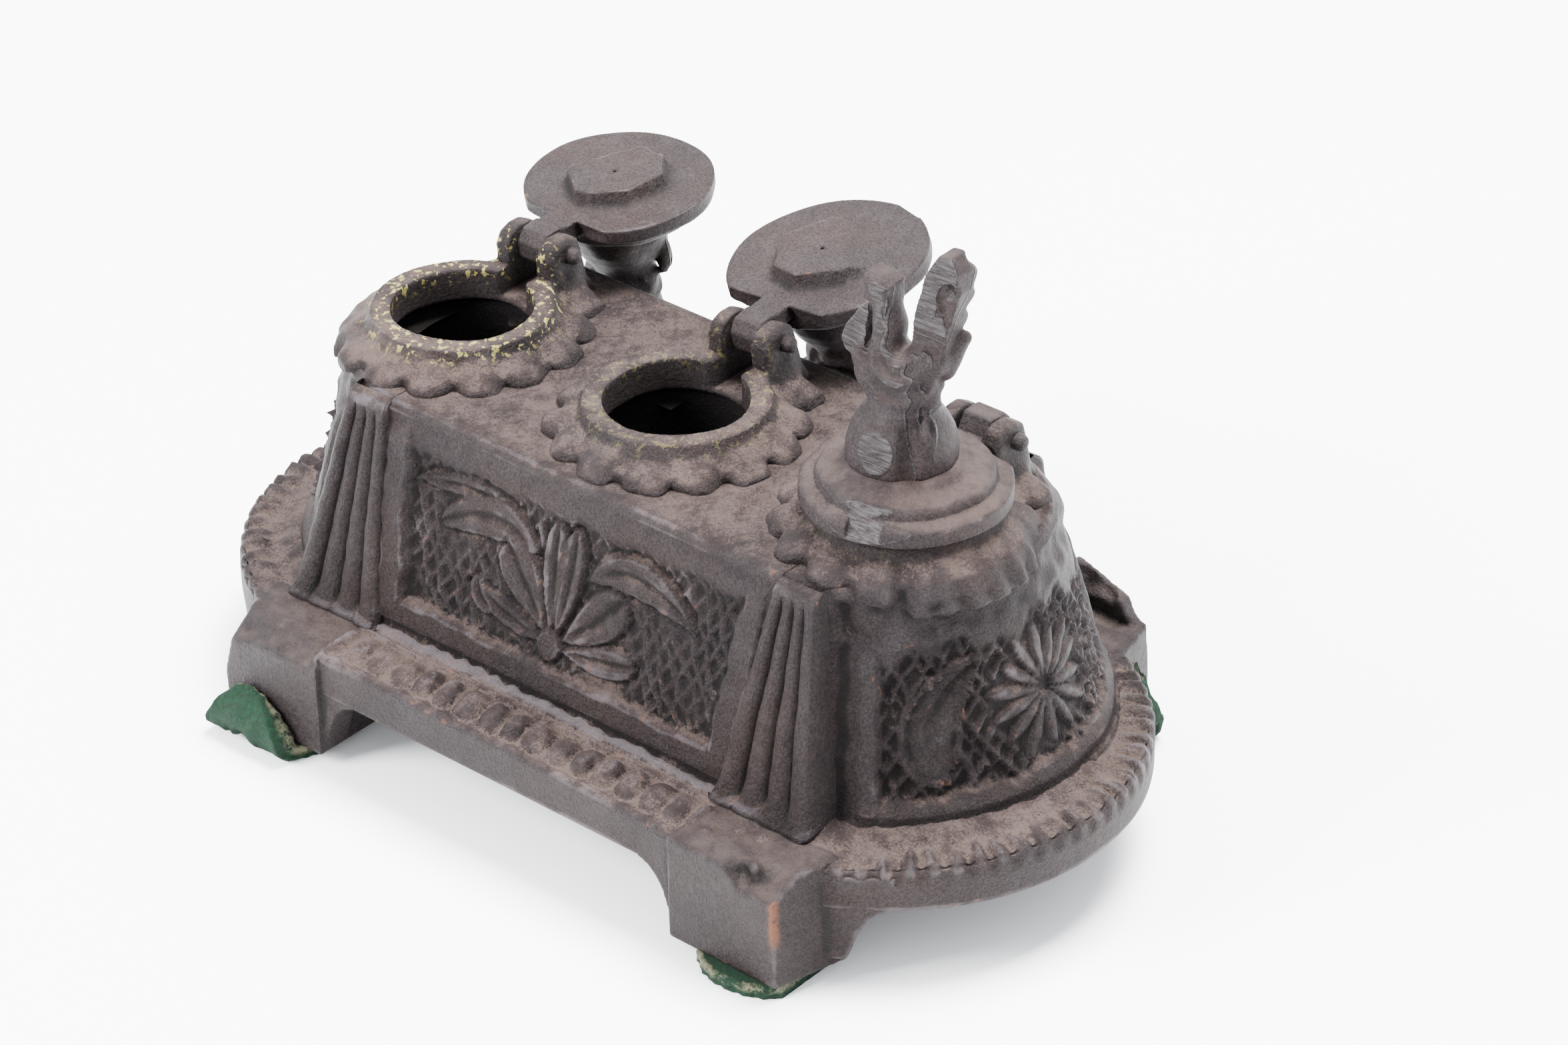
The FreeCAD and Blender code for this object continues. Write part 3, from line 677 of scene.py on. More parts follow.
def topRelief(x, y):
    places = list(wells.values())
    gaps = [np.hypot(x - w, y) for w in places]
    near = np.minimum.reduce(gaps)
    far = np.sort(np.stack(gaps), 0)[1]
    wander = 0.4 * uneven(x, y, 0 * x, 4, 13)
    lines = np.maximum(smooth(0.4, 0.95, np.abs(((near + wander) / 2.0 % 1) * 2 - 1)),
                       smooth(0.4, 0.95, np.abs(((far + wander) / 2.0 % 1) * 2 - 1)))
    height = 0.32 * lines * smooth(21.4, 22.4, near) * smooth(-20.4, -19.4, y) * smooth(26.4, 25.4, y)
    return height * np.clip(0.7 + 0.5 * wander, 0, 1.2) + 0.16 * hump(near - 20.9, 0.6)


def makeCasketWall():
    mx, nx, ny, side, along = loop(casket["half"], (208, 210, 110, 150))
    edge = casket["edge"]
    z = np.concatenate([np.linspace(levels["deck"] - 0.4, levels["top"] - edge, 94)])
    Z = np.repeat(z[:, None], len(mx), 1)
    R = wallRadius(Z)
    relief = np.zeros(Z.shape)
    for k in (0, 2):
        pick = side == k
        relief[:, pick] = frontRelief(np.repeat(along[pick][None], len(z), 0), Z[:, pick])
    for k in (1, 3):
        pick = side == k
        relief[:, pick] = endRelief(np.repeat(along[pick][None], len(z), 0), Z[:, pick])
    X = mx + R * nx
    Y = casket["middleY"] + R * ny
    wave = 0.16 * uneven(X, Y, Z, 9, 3) + 0.07 * uneven(X, Y, Z, 2.6, 4)
    relief = (relief + wave) * smooth(levels["top"] - edge + 0.3, levels["top"] - edge - 1.2, Z)
    flat = Y > backWall(Z)
    Y = np.where(flat, backWall(Z) + relief * 0.6 - 0.3, Y + relief * ny)
    X = X + np.where(flat, 0, relief * nx)
    # the rounded top edge, then the top drawn in towards the middle line
    rings = []
    for step in range(1, 5):
        a = math.radians(90 * step / 4)
        rings.append((edge * (1 - math.cos(a)), levels["top"] - edge * (1 - math.sin(a))))
    for inset in np.linspace(edge + 0.45, casket["topRadius"] - 0.01, 54):
        rings.append((inset, levels["top"]))
    tops = []
    for inset, height in rings:
        radius = casket["topRadius"] - inset
        x = mx + radius * nx
        y = np.minimum(casket["middleY"] + radius * ny, casket["backTop"] - min(inset, 1.0))
        rise = topRelief(x, y) * (inset > edge) + 0.12 * uneven(x, y, 0 * x, 7, 5) * (inset > edge) - 0.1
        tops.append(np.stack([x, y, height + rise * smooth(0, 1.5, np.array(inset))], -1))
    grid = np.concatenate([np.stack([X, Y, Z], -1), np.stack(tops)])
    points, faces = sheet(grid, closed=True)
    middle = points[faces].mean(1)
    keep = np.ones(len(faces), bool)
    for place in wells.values():
        keep &= ~((np.hypot(middle[:, 0] - place, middle[:, 1]) < 13.2) & (middle[:,
                                                                                  2] > levels["top"] - 2))
    return points, faces[keep]


def makeCasketInside():
    mx, nx, ny, side, along = loop(casket["half"], (52, 50, 30, 50))
    rows = []
    deck = levels["deck"]
    for z, inset in ((deck - 0.4, 0), (deck - 0.4, 3), (24, 3), (31, 3), (40, 3), (47.9, 3), (47.9, 9),
                     (47.9, 16), (47.9, 21.3)):
        radius = wallRadius(min(max(z, deck), levels["top"])) - inset
        x = mx + radius * nx
        y = np.minimum(casket["middleY"] + radius * ny, backWall(z) - inset * 1.0)
        rows.append(np.stack([x, y, z + 0 * x], -1))
    points, faces = sheet(np.stack(rows), closed=True, flip=True)
    middle = points[faces].mean(1)
    keep = np.ones(len(faces), bool)
    for place in wells.values():
        keep &= ~((np.hypot(middle[:, 0] - place, middle[:, 1]) < 12.0) & (middle[:, 2] > 40))
    return points, faces[keep]


pilaster = {"topX": 41.6, "baseX": 42.3, "topWidth": 7.4, "baseWidth": 18.2, "relief": 2.0, "ribs": 4,
            "ribDepth": 1.9}


def makePilaster(signX, signY):
    z = np.concatenate([np.linspace(levels["deck"] - 1.3, levels["top"] - 1.8, 86),
                        levels["top"] - np.array([1.3, 0.8, 0.4, 0.15, 0.05])])
    u = np.concatenate([np.full(5, -1), np.linspace(-1, 1, 90), np.full(5, 1)])
    depth = np.concatenate([np.linspace(6.5, 0.5, 5), np.zeros(90), np.linspace(0.5, 6.5, 5)])
    share = (z - levels["deck"]) / (levels["top"] - levels["deck"])
    middle = pilaster["baseX"] + (pilaster["topX"] - pilaster["baseX"]) * share
    half = (pilaster["baseWidth"] + (pilaster["topWidth"] - pilaster["baseWidth"]) * share ** 0.9) / 2
    U, Z = np.meshgrid(u, z)
    H = half[:, None]
    X = signX * (middle[:, None] + U * H)
    place = (U * 0.985 + 1) / 2 * pilaster["ribs"]
    rib = np.clip(1 - np.abs((place % 1) * 2 - 1) ** 2.2, 0, 1) ** 0.55
    fade = smooth(-0.6, 2.6, Z - levels["deck"]) * smooth(1.2, 4.2, levels["top"] - Z)
    groove = pilaster["ribDepth"] * (1 - rib) * fade * np.clip(H / 6, 0.5, 1)
    number = np.floor(place)
    relief = pilaster["relief"] if signY < 0 else 0.9
    relief = relief * np.interp(Z, (levels["deck"], levels["top"]), (1.0, 0.6))
    tuck = np.interp(Z, (levels["top"] - 1.8, levels["top"] - 0.9, levels["top"] - 0.05), (0, 0.25, 1.6))
    outward = relief - groove * (1 if signY < 0 else 0.6) - depth[None] - tuck
    outward = outward + 0.18 * np.sin(number * 2.3 + 1) * fade
    outward = outward - 0.5 * smooth(0.93, 1.0, np.abs(U))
    wall = casket["middleY"] - wallRadius(Z) if signY < 0 else backWall(Z)
    heel = 1.1 * np.exp(-np.maximum(Z - levels["deck"], 0) / 1.3)
    Y = wall + signY * (outward + heel)
    wave = 0.14 * uneven(X, Y, Z, 7, 11) + 0.09 * uneven(X, Y, Z, 2.2, 12)
    Y = Y + signY * wave
    return sheet(np.stack([X, Y, Z], -1), flip=(signY > 0) != (signX < 0))


casketParts = [makeCasketWall(), makeCasketInside()]
for signX in (-1, 1):
    for signY in (-1, 1):
        casketParts.append(makePilaster(signX, signY))
casketPiece = makePiece("casketCasting", casketParts)
markCrestsAndHollows(casketPiece)
finishPiece(casketPiece, casketBronze, "stand", "bronze_casket", "casket")
print("casket", len(casketPiece.data.polygons))


# plinth

plinth = {
    "half": 39.8, "radius": 38.7, "face": 42.1, "deckDepth": 15.0, "roof": 3.2, "wall": 5.0,
    "beanPitch": 4.5, "beanFirst": -35.5, "beanLast": 35.0, "beanHalf": (2.15, 3.3), "beanRise": 1.35,
    "beanSlant": 0.22,
    "toothPitch": 3.45, "toothRise": 1.25,
    "footInner": 34.9, "footCorner": 54.8, "footSide": 58.0, "footFace": 43.0, "footBack": 30.7,
}


def deckRelief(side, along, e):
    # e is the distance in from the outer edge
    height = np.zeros(e.shape)
    straight = (side == 0) | (side == 2)
    x = np.where(straight, along, 0)
    y = e - 5.4
    slant = x + plinth["beanSlant"] * y + 0.3 * np.sin(x * 0.4)
    index = np.round((slant - plinth["beanFirst"]) / plinth["beanPitch"])
    last = round((plinth["beanLast"] - plinth["beanFirst"]) / plinth["beanPitch"])
    index = np.clip(index, 0, last)
    du = slant - plinth["beanFirst"] - index * plinth["beanPitch"]
    size = 1 + 0.10 * np.sin(index * 2.3)
    q = np.abs(du / (plinth["beanHalf"][0] * size)) ** 2.4 + np.abs(y / plinth["beanHalf"][1]) ** 2.4
    q = q ** (1 / 2.4)
    faint = 0.55 + 0.45 * smooth(1.5, 5, index) * smooth(15, 13, index)
    bean = plinth["beanRise"] * smooth(1.05, 0.35, q) * (0.8 + 0.2 * np.sin(index * 1.7 + 1)) * faint
    bean = bean + 0.35 * smooth(4.2, 2.4, np.abs(y)) * (1 - smooth(1.0, 1.25, q))
    crease = -0.35 * hump(q - 1.08, 0.13) * faint
    groove = 0.4 * hump(e - 9.7, 0.5) - 0.25 * hump(e - 9.1, 0.4)
    ledge = 0.85 * smooth(10.4, 11.0, e)
    lip = 0.2 * hump(e - 1.2, 0.8)
    rough = 0.16 * uneven(x, y, 0 * x, 1.5, 26) + 0.25 * uneven(x, y, 0 * x, 1.3, 27) * smooth(10.4, 11.4,
                                                                                               e)
    height += np.where(side == 0, bean + crease + groove + ledge + lip + rough, 0)
    height += np.where(side == 2, 0.2 * hump(e - 9.6, 0.8), 0)
    arc = np.where(straight, 0, along) * math.pi / 180 * plinth["radius"]
    turn = np.abs((arc / plinth["toothPitch"] % 1) * 2 - 1)
    number = np.floor(arc / plinth["toothPitch"])
    reach = 5.4 + 0.8 * np.sin(number * 1.9)
    tooth = plinth["toothRise"] * (0.85 + 0.2 * np.sin(number * 2.7))
    tooth = tooth * smooth(-0.05, 0.85, turn) * smooth(-0.8, 1.6, e) * smooth(reach, reach - 3.4, e)
    fade = smooth(70, 60, np.abs(np.where(straight, 90, along)))
    slope = 1.0 * smooth(5.5, 9.5, e)
    rough = 0.16 * uneven(arc, e, 0 * e, 1.6, 28)
    height += np.where(straight, 0, tooth * fade - 0.3 * smooth(4.0, 1.0, e) * fade + slope + rough)
    return height


def brokenTop(x, y):
    # height left standing at the broken front right corner, and at the sloping front left one
    right = 0.62 * np.maximum(-y - 38.2, 0) * smooth(45.0, 48.5,
                                                     x) + 0.5 * hump(np.hypot((x - 51.0) / 1.6, y + 42.0),
                                                                     3.6)
    left = 0.75 * np.maximum(-y - 39.2 + 0.25 * np.maximum(-x - 46, 0), 0) * smooth(-35.2, -37.0, x)
    return levels["deck"] + 0.3 - right - left + 9 * smooth(3.0, 0.0, np.abs(x) - 33)


def makeRail():
    mx, nx, ny, side, along = loop(plinth["half"], (220, 330, 130, 240))
    straight = (side == 0) | (side == 2)
    outer = np.where(straight, plinth["face"], plinth["radius"])
    bulge = smooth(68, 86, np.abs(along)) * (plinth["face"] - plinth["radius"])
    outer = np.where(straight, outer, plinth["radius"] + bulge)
    rows = []
    rail, deck = levels["rail"], levels["deck"]
    # inner end of the deck, across the deck, down the face and back underneath
    for inset in np.linspace(plinth["deckDepth"], 1.0, 44):
        rows.append((inset, deck, 1))
    rows += [(0.6, deck - 0.08, 0.9), (0.25, deck - 0.3, 0.6), (0.06, deck - 0.6, 0.3)]
    for z in np.linspace(deck - 0.95, rail + 0.7, 14):
        rows.append((0, z, 0))
    rows += [(0.05, rail + 0.3, 0), (0.35, rail, 0), (2.5, rail, 0), (plinth["wall"] - 0.3, rail, 0)]
    rows += [(plinth["wall"], rail + 0.4, 0), (plinth["wall"], 12.5, 0),
             (plinth["wall"], deck - plinth["roof"], 0)]
    rows += [(8.5, deck - plinth["roof"], 0), (plinth["deckDepth"], deck - plinth["roof"], 0),
             (plinth["deckDepth"], deck, 0)]
    grid = []
    arc = np.where(straight, 0, along) * math.pi / 180 * plinth["radius"]
    turn = np.abs((arc / plinth["toothPitch"] % 1) * 2 - 1)
    fade = np.where(straight, 0, smooth(70, 60, np.abs(along)))
    for inset, z, share in rows:
        radius = outer - inset
        x = mx + radius * nx
        y = radius * ny
        rise = 0
        if share:
            rise = deckRelief(side, along, np.full(x.shape, inset))
            rise = rise + 0.16 * uneven(x, y, 0 * x, 5, 21) + 0.09 * uneven(x, y, 0 * x, 1.8, 22) - 0.15
            rise = rise * share
        out = np.zeros(x.shape)
        if inset < 1 and z > rail + 0.2:
            out = 0.09 * uneven(x, y, z + 0 * x, 6, 23) - 0.12
            over = smooth(deck - 3.0, deck - 1.0, np.array(z))
            out = out + fade * over * (0.45 * smooth(0.1, 0.8, turn) - 0.5)
        height = z + rise + 0 * x
        if z > deck - 4:
            height = np.where(y < -30, np.minimum(height, brokenTop(x, y) - 0.5), height)
        grid.append(np.stack([x + out * nx, y + out * ny, height], -1))
    return sheet(np.stack(grid), closed=True, flip=True)


railPiece = makePiece("plinthDeck", [makeRail()])
markCrestsAndHollows(railPiece)
x, y, z = placesOf(railPiece).T
setLayer(railPiece.data, "bare",
         smooth(-32.2, -31.4, y) * smooth(-28.6, -29.4, y) * (z > levels["deck"]) * (np.abs(x) < 44))
finishPiece(railPiece, plinthBronze, "stand", "bronze_plinth", "plinth")
print("deck and rail", len(railPiece.data.polygons))


def makeFeet():
    step = 0.45
    low = (-67, -45, -1.2)
    p = space(low, (67, 45, 26), step)
    x, y, z = p
    ax, ay = np.abs(x), np.abs(y)
    rail, deck, thick = levels["rail"], levels["deck"], plinth["wall"]
    inner = plinth["footInner"]
    taper = np.where((x < 0) & (y < 0), 0.30, 0.06) * np.maximum(z - 7.0, 0) * smooth(inner,
                                                                                      plinth["footCorner"],
                                                                                      ax)
    foot = outlineField(ax + taper, ay,
                        [(inner, plinth["footFace"]), (plinth["footCorner"], plinth["footFace"]),
                                         (plinth["footSide"], plinth["footBack"]),
                                         (inner, plinth["footBack"])])
    whole = slabField(foot, z, 0, deck - 0.05, 0.3)
    # hollow-curved webs under the rail, first towards the middle, then round the ends
    curve = [(0.0, 0.4), (0.8, 3.0), (1.4, 5.0), (2.1, 6.8), (3.1, 8.4), (4.4, 9.6), (6.6, rail),
             (7.2, deck - 1.2), (-4.0, deck - 1.2), (-4.0, 0.4)]
    web = slabField(outlineField(inner - ax, z, curve), ay, plinth["face"] - thick, plinth["face"] - 0.12,
                    0.25)
    whole = blendUnion(whole, web, 0.25)
    ring = np.hypot(ax - plinth["half"], y)
    angle = np.degrees(np.arctan2(ay, ax - plinth["half"]))
    arc = (59.6 - angle) * plinth["radius"] * math.pi / 180
    web = slabField(outlineField(arc, z, [(q, max(h, 1.6)) for q, h in curve]), ring,
                    plinth["radius"] - thick, plinth["radius"] - 0.15, 0.25)
    web = np.maximum(web, plinth["half"] - ax)
    whole = blendUnion(whole, web, 0.25)
    # the low wall behind, with its horned ends
    wall = outlineField(ax, z,
                        [(-1, deck - 6.8), (-1, deck + 2.0), (37.3, deck + 3.0), (39.3, deck + 4.5),
                         (41.3, deck + 7.0), (43.6, deck + 6.6),
                                (51.1, deck + 3.5), (53.2, deck), (53.2, deck - 4), (36, deck - 6.8)])
    wall = slabField(wall, y, 40.6, 43.0, 0.4)
    whole = blendUnion(whole, wall, 0.8)
    whole = whole + 0.12 * uneven(x, y, z, 8, 31) * smooth(0.2, 3, z)
    whole = whole + 0.12 * uneven(x, y, z, 2.0, 32) * smooth(deck - 3, deck - 0.8, z)
    # the broken corner of the front right foot and smaller chips
    for middle, radii in (
        ((-51.5, -44.4, 19.6), (5.5, 3.0, 3.4)), ((-36.5, -44.4, 16.8), (2.2, 2.6, 2.8)),
        ((-41.5, -43.6, 18.9), (4.6, 1.9, 2.2)),
        ((46.5, 39.0, 24.0), (6.2, 3.4, 4.6)), ((-46.5, 39.0, 24.0), (6.2, 3.4, 4.6)),
    ):
        whole = blendCut(whole, ball(p, middle, radii) + 0.3 * uneven(x, y, z, 1.8, 33), 0.3)
    whole = np.maximum(whole, np.where(y < 0, z - brokenTop(x, y) - 0.25 * uneven(x, y, z, 1.6, 35), -9))
    lumps = ball(p, (43.0, -39.6, 16.8), (6.5, 2.4, 1.3)) + 0.4 * uneven(x, y, z, 2.4, 34)
    whole = blendUnion(whole, lumps, 0.8)
    whole = np.maximum(whole, -z)
    return skin(whole, low, step)


feetPiece = makePiece("plinthFeet", [makeFeet()])
markCrestsAndHollows(feetPiece)
x, y, z = placesOf(feetPiece).T
corner = np.hypot(x - plinth["footCorner"], y + plinth["footFace"])
setLayer(feetPiece.data, "copper", smooth(1.3, 0.5, corner) * smooth(6.0, 9.5, z) * smooth(17.5, 16.0, z))
finishPiece(feetPiece, feetBronzePaintedShade, "stand", "bronze_plinth", "plinth")
print("feet and rear wall", len(feetPiece.data.polygons))


# collars

collar = {"mouth": 10.8, "rim": 14.0, "flange": 16.6, "lobes": 14, "lobeAt": 15.2, "lobeHalf": 3.9,
          "lobeReach": 4.9, "lobeRise": 2.2,
          "earIn": 2.85, "earOut": 5.85, "slot": 2.87}


def makeCollar(tilt, seed, outward):
    step = 0.33
    low = (-21.5, -21.5, levels["top"] - 3.4)
    p = space(low, (21.5, 24.5, hinge["z"] + 4.2), step)
    x, y, z = p
    r = np.hypot(x, y)
    base, rimTop = levels["top"], levels["rim"]
    turn = np.arctan2(y, x)
    wave = 0.25 * np.sin(2 * turn + seed) + 0.22 * uneven(x, y, z, 5, seed)
    ring = outlineField(r + wave * smooth(0, 2, rimTop - z), z,
                        [(9, base - 2), (17.6, base - 2), (17.4, base + 1.2), (15.9, base + 2.0),
                         (14.9, base + 3.0),
                                           (14.3, base + 4.1), (14.0, rimTop - 0.5), (13.5, rimTop),
                                           (9, rimTop)])
    whole = ring
    number = np.floor(turn / (2 * math.pi) * collar["lobes"]) + 0.5
    angle = number * 2 * math.pi / collar["lobes"]
    lx = x * np.cos(angle) + y * np.sin(angle)
    ly = -x * np.sin(angle) + y * np.cos(angle)
    size = 1 + 0.07 * np.sin(number * 2.1 + seed)
    # scallops: broad rounded tongues lying against the foot of the ring
    fall = base + 1.15 - (lx - collar["lobeAt"]) * 0.30
    scallop = ball((lx, ly, z - fall + base), (collar["lobeAt"], 0, base - 0.3),
                   (collar["lobeReach"], collar["lobeHalf"], collar["lobeRise"]))
    scallop = scallop / size + 0.20 * uneven(x, y, z, 2.0, seed + 1)
    sideways = 0.0 if outward == 0 else np.clip(outward * x / np.maximum(r, 1), 0, 1)
    scallop = scallop + 0.7 * smooth(0.55, 0.95, sideways)
    whole = blendUnion(whole, scallop, 0.45)
    if outward:
        # towards the end of the casket the scallops run together into a sloping shoulder
        ribbed = 0.35 * np.cos(turn * 2 * collar["lobes"]) * smooth(15, 18, r) + 0.4 * uneven(x, y, z, 2.2,
                                                                                              seed + 6)
        shoulder = outlineField(r + ribbed, z,
                                [(9, base - 3.2), (19.7, base - 3.2), (18.9, base - 0.8),
                                 (17.6, base + 1.2), (15.4, base + 3.0),
                                                (14.0, base + 3.6), (9, base + 3.6)])
        shoulder = shoulder + 6 * smooth(0.75, 0.2, sideways)
        whole = blendUnion(whole, shoulder, 0.8)
    # the two ears, their roots spreading down on to the flange
    ct, st = math.cos(math.radians(tilt)), math.sin(math.radians(tilt))
    hx = x * ct + (z - hinge["z"]) * st
    hz = -x * st + (z - hinge["z"]) * ct + hinge["z"]
    profile = outlineField(y, hz,
                           [(10.6, base - 3), (10.8, rimTop - 0.6), (13.2, rimTop - 0.5),
                            (12.75, hinge["z"]), (13.9, hinge["z"] + 2.1),
                                   (15.9, hinge["z"] + 2.9), (17.9, hinge["z"] + 2.9),
                                   (19.9, hinge["z"] + 1.8), (20.5, hinge["z"]),
                                   (21.4, base + 3.4), (23.0, base + 0.6), (23.2, base - 3)])
    ears = slabField(profile, hx, -collar["earOut"], collar["earOut"], 1.25)
    spread = outlineField(np.abs(hx), hz,
                          [(2.0, base - 3), (2.0, base + 5.4), (5.0, base + 5.2), (7.4, base + 2.6),
                           (11.4, base + 0.9), (12.6, base - 3)])
    spread = slabField(spread, y, 14.8, 19.6, 1.3)
    ears = blendUnion(ears, spread, 2.2)
    whole = blendUnion(whole, ears, 1.6)
    whole = whole + 0.14 * uneven(x, y, z, 3.5, seed + 2) * smooth(0.2, 1.0,
                                                                   np.abs(hx) - 5.9 + 2 * (y < 11))
    slot = block((hx, y, hz), (-collar["slot"], 7.0, base + 0.6), (collar["slot"], 30, hinge["z"] + 9), 0.2)
    whole = np.maximum(whole, -slot)
    # nothing of the ears stands in the way of the lid's edge
    clear = np.hypot(y - hinge["y"], hz - hinge["z"]) - 5.15
    whole = np.where((z > rimTop - 0.3) & (y < hinge["y"]), np.maximum(whole, clear), whole)
    whole = np.maximum(whole, z - np.where(y < 12.9, rimTop - 0.02, 99))
    mouth = r - collar["mouth"] - 0.18 * np.sin(3 * turn + seed) - 0.1 * np.sin(5 * turn + 2 * seed)
    whole = blendCut(whole, mouth, 0.9)
    whole = np.maximum(whole, base - (3.0 if outward else 0.4) - z)
    inner = np.maximum(r - 17.0, base - 0.4 - z)
    whole = np.where((r < 17.2) & (z < base - 0.2), np.maximum(whole, inner), whole)
    limit = r - 19.85
    whole = np.where(y < 12, np.maximum(whole, limit), whole)
    return skin(whole, low, step)


for seed, (side, tilt, green,
           outward) in enumerate((("left", 0, 1.0, -1), ("middle", 3, 0.16, 0), ("right", 0, 0.05, 1))):
    piece = makePiece("collar." + side, [makeCollar(tilt, 40 + seed * 5, outward)], (wells[side], 0, 0))
    markCrestsAndHollows(piece)
    spots = placesOf(piece) - np.array([wells[side], 0, 0])
    away = np.hypot(spots[:, 0], spots[:, 1])
    patch = smooth(17.0, 14.0, away) * smooth(levels["rim"] - 3.5, levels["rim"] - 0.5, spots[:, 2])
    setLayer(piece.data, "green", patch * green)
    finishPiece(piece, collarBronze, "stand", "bronze_collar", "well_collar_" + side)
print("collars ready")


# lids and birds, drawn shut and then opened as they stand

opening = {"left": 175.5, "middle": 170.0, "right": 0.0}
tilts = {"left": 0.0, "middle": 3.0, "right": 0.0}
lidSize = {"left": 15.0, "middle": 15.7, "right": 15.4}


def opened(side):
    t = math.radians(tilts[side])
    axis = Vector((-math.cos(t), 0, -math.sin(t)))
    pivot = Vector((0, hinge["y"], hinge["z"])) * 0.001
    return Matrix.Translation(pivot) @ Matrix.Rotation(math.radians(opening[side]), 4,
                                                       axis) @ Matrix.Translation(-pivot)


lid = {"thick": 2.6, "tier": 12.8, "tierRise": 2.3, "dome": 9.2, "plug": 2.35, "facets": 7, "clear": 5.55}


plugShapes = {
    # flats of the plug as (direction in degrees, reach, slope); the open side is at 90
    "left": ((-152, 6.3, 0.95), (-98, 7.4, 0.25), (-40, 7.9, 0.45), (8, 7.3, 0.35), (48, 7.5, 0.2),
             (80, 8.6, 0.2), (128, 7.8, 0.2), (172, 7.5, 0.3)),
    "middle": ((-150, 7.6, 0.5), (-100, 7.6, 0.3), (-42, 6.6, 1.5), (10, 8.6, 0.35), (55, 8.2, 0.3),
               (100, 8.6, 0.25), (150, 7.8, 0.3), (185, 8.4, 0.2)),
    "right": ((-150, 7.6, 0.5), (-100, 7.2, 0.3), (-42, 7.6, 0.7), (10, 7.6, 0.35), (55, 7.6, 0.3),
              (100, 7.6, 0.25), (150, 7.4, 0.3), (185, 7.4, 0.2)),
}


def flatsOf(side):
    # planes of the filed flats on a lid's front edge
    top = levels["lid"] + lid["thick"]
    way = (0.292 * 0.80, -0.956 * 0.80, 0.60)
    return [way + (12.35 * 0.80 + (top + 1.5) * 0.60,)]


def makeLid(side, seed):
    step = 0.3
    radius, tilt = lidSize[side], tilts[side]
    bottom = levels["lid"]
    low = (-17, -17, bottom - 3.4)
    p = space(low, (17, 22.5, levels["dome"] + 1.0), step)
    x, y, z = p
    r = np.hypot(x, y)
    turn = np.arctan2(y, x)
    edge = radius - 0.2 + 0.12 * np.sin(3 * turn + seed) + 0.07 * np.sin(7 * turn + 2 * seed)
    top, dome = bottom + lid["thick"], levels["dome"]
    # a stepped disc: vertical edge, sloping brim, a step up, then hollow to the foot of the bird
    scale = edge / 15.5
    disc = outlineField(r / scale, z,
                        [(-9, bottom), (15.35, bottom), (15.5, bottom + 0.2), (15.5, top - 0.35),
                         (15.2, top - 0.05), (14.2, top + 0.2),
                                       (13.2, top + 0.5), (12.85, top + 1.6), (12.4, top + 2.1),
                                       (11.2, top + 2.35), (9.8, top + 2.75), (8.6, dome), (-9, dome)])
    disc = disc + 0.12 * uneven(x, y, z, 3, seed) * smooth(bottom + 0.8, bottom + 2, z)
    # the plug underneath, filed to uneven flats
    plug = np.maximum(z - bottom - 0.2, bottom - lid["plug"] - z)
    for degrees, reach, slope in plugShapes[side]:
        way = math.radians(degrees)
        across = x * math.cos(way) + y * math.sin(way)
        plug = np.maximum(plug, (across - reach + (bottom - z) * slope) / math.hypot(1, slope))
    plug = plug + 0.06 * uneven(x, y, z, 3, seed + 3)
    if side == "left":
        plug = blendCut(plug, np.hypot(x - 1.6, y + 8.6) - 1.9, 0.4)
    whole = blendUnion(disc, plug, 0.8)
    vent = np.hypot(x - 0.4, y - 1.0) - 0.35
    whole = np.maximum(whole, -np.maximum(vent, z - bottom))
    ct, st = math.cos(math.radians(tilt)), math.sin(math.radians(tilt))
    hx = x * ct + (z - hinge["z"]) * st
    hz = -x * st + (z - hinge["z"]) * ct + hinge["z"]
    sweep = np.hypot(y - hinge["y"], hz - hinge["z"]) - lid["clear"]
    whole = np.maximum(whole, -sweep)
    # the tongue that turns on the pin, filed square
    tongue = outlineField(y, hz,
                          [(10.5, bottom + 0.1), (15.2, bottom - 0.15), (16.2, hinge["z"] - 3.0),
                           (18.9, hinge["z"] - 2.9),
                                  (20.5, hinge["z"] - 1.2), (20.5, hinge["z"] + 1.5),
                                  (19.2, hinge["z"] + 2.8), (16.0, hinge["z"] + 2.9),
                                  (14.4, top + 0.2), (10.5, top)])
    whole = blendUnion(whole, slabField(tongue, hx, -2.58, 2.58, 0.3), 0.12)
    # a flat filed across the step on the front side, below the flat on the bird's foot
    nx, ny, nz, away = flatsOf(side)[0]
    cut = np.maximum(away - (x * nx + y * ny + z * nz), np.abs(x * 0.956 + y * 0.292 + 0.3) - 2.5)
    whole = blendCut(whole, cut, 0.1)
    return skin(whole, low, step)


bird = {
    # planes of the filed flats: across, forward, up, distance; the heights are above the lid's dome
    "tailFlat": (0.05, -0.998, 0.03, 2.75), "bellFlat": (0.10, -0.955, 0.28, 7.75),
    "beakFlat": (-0.10, -0.99, 0.08, 3.95),
}


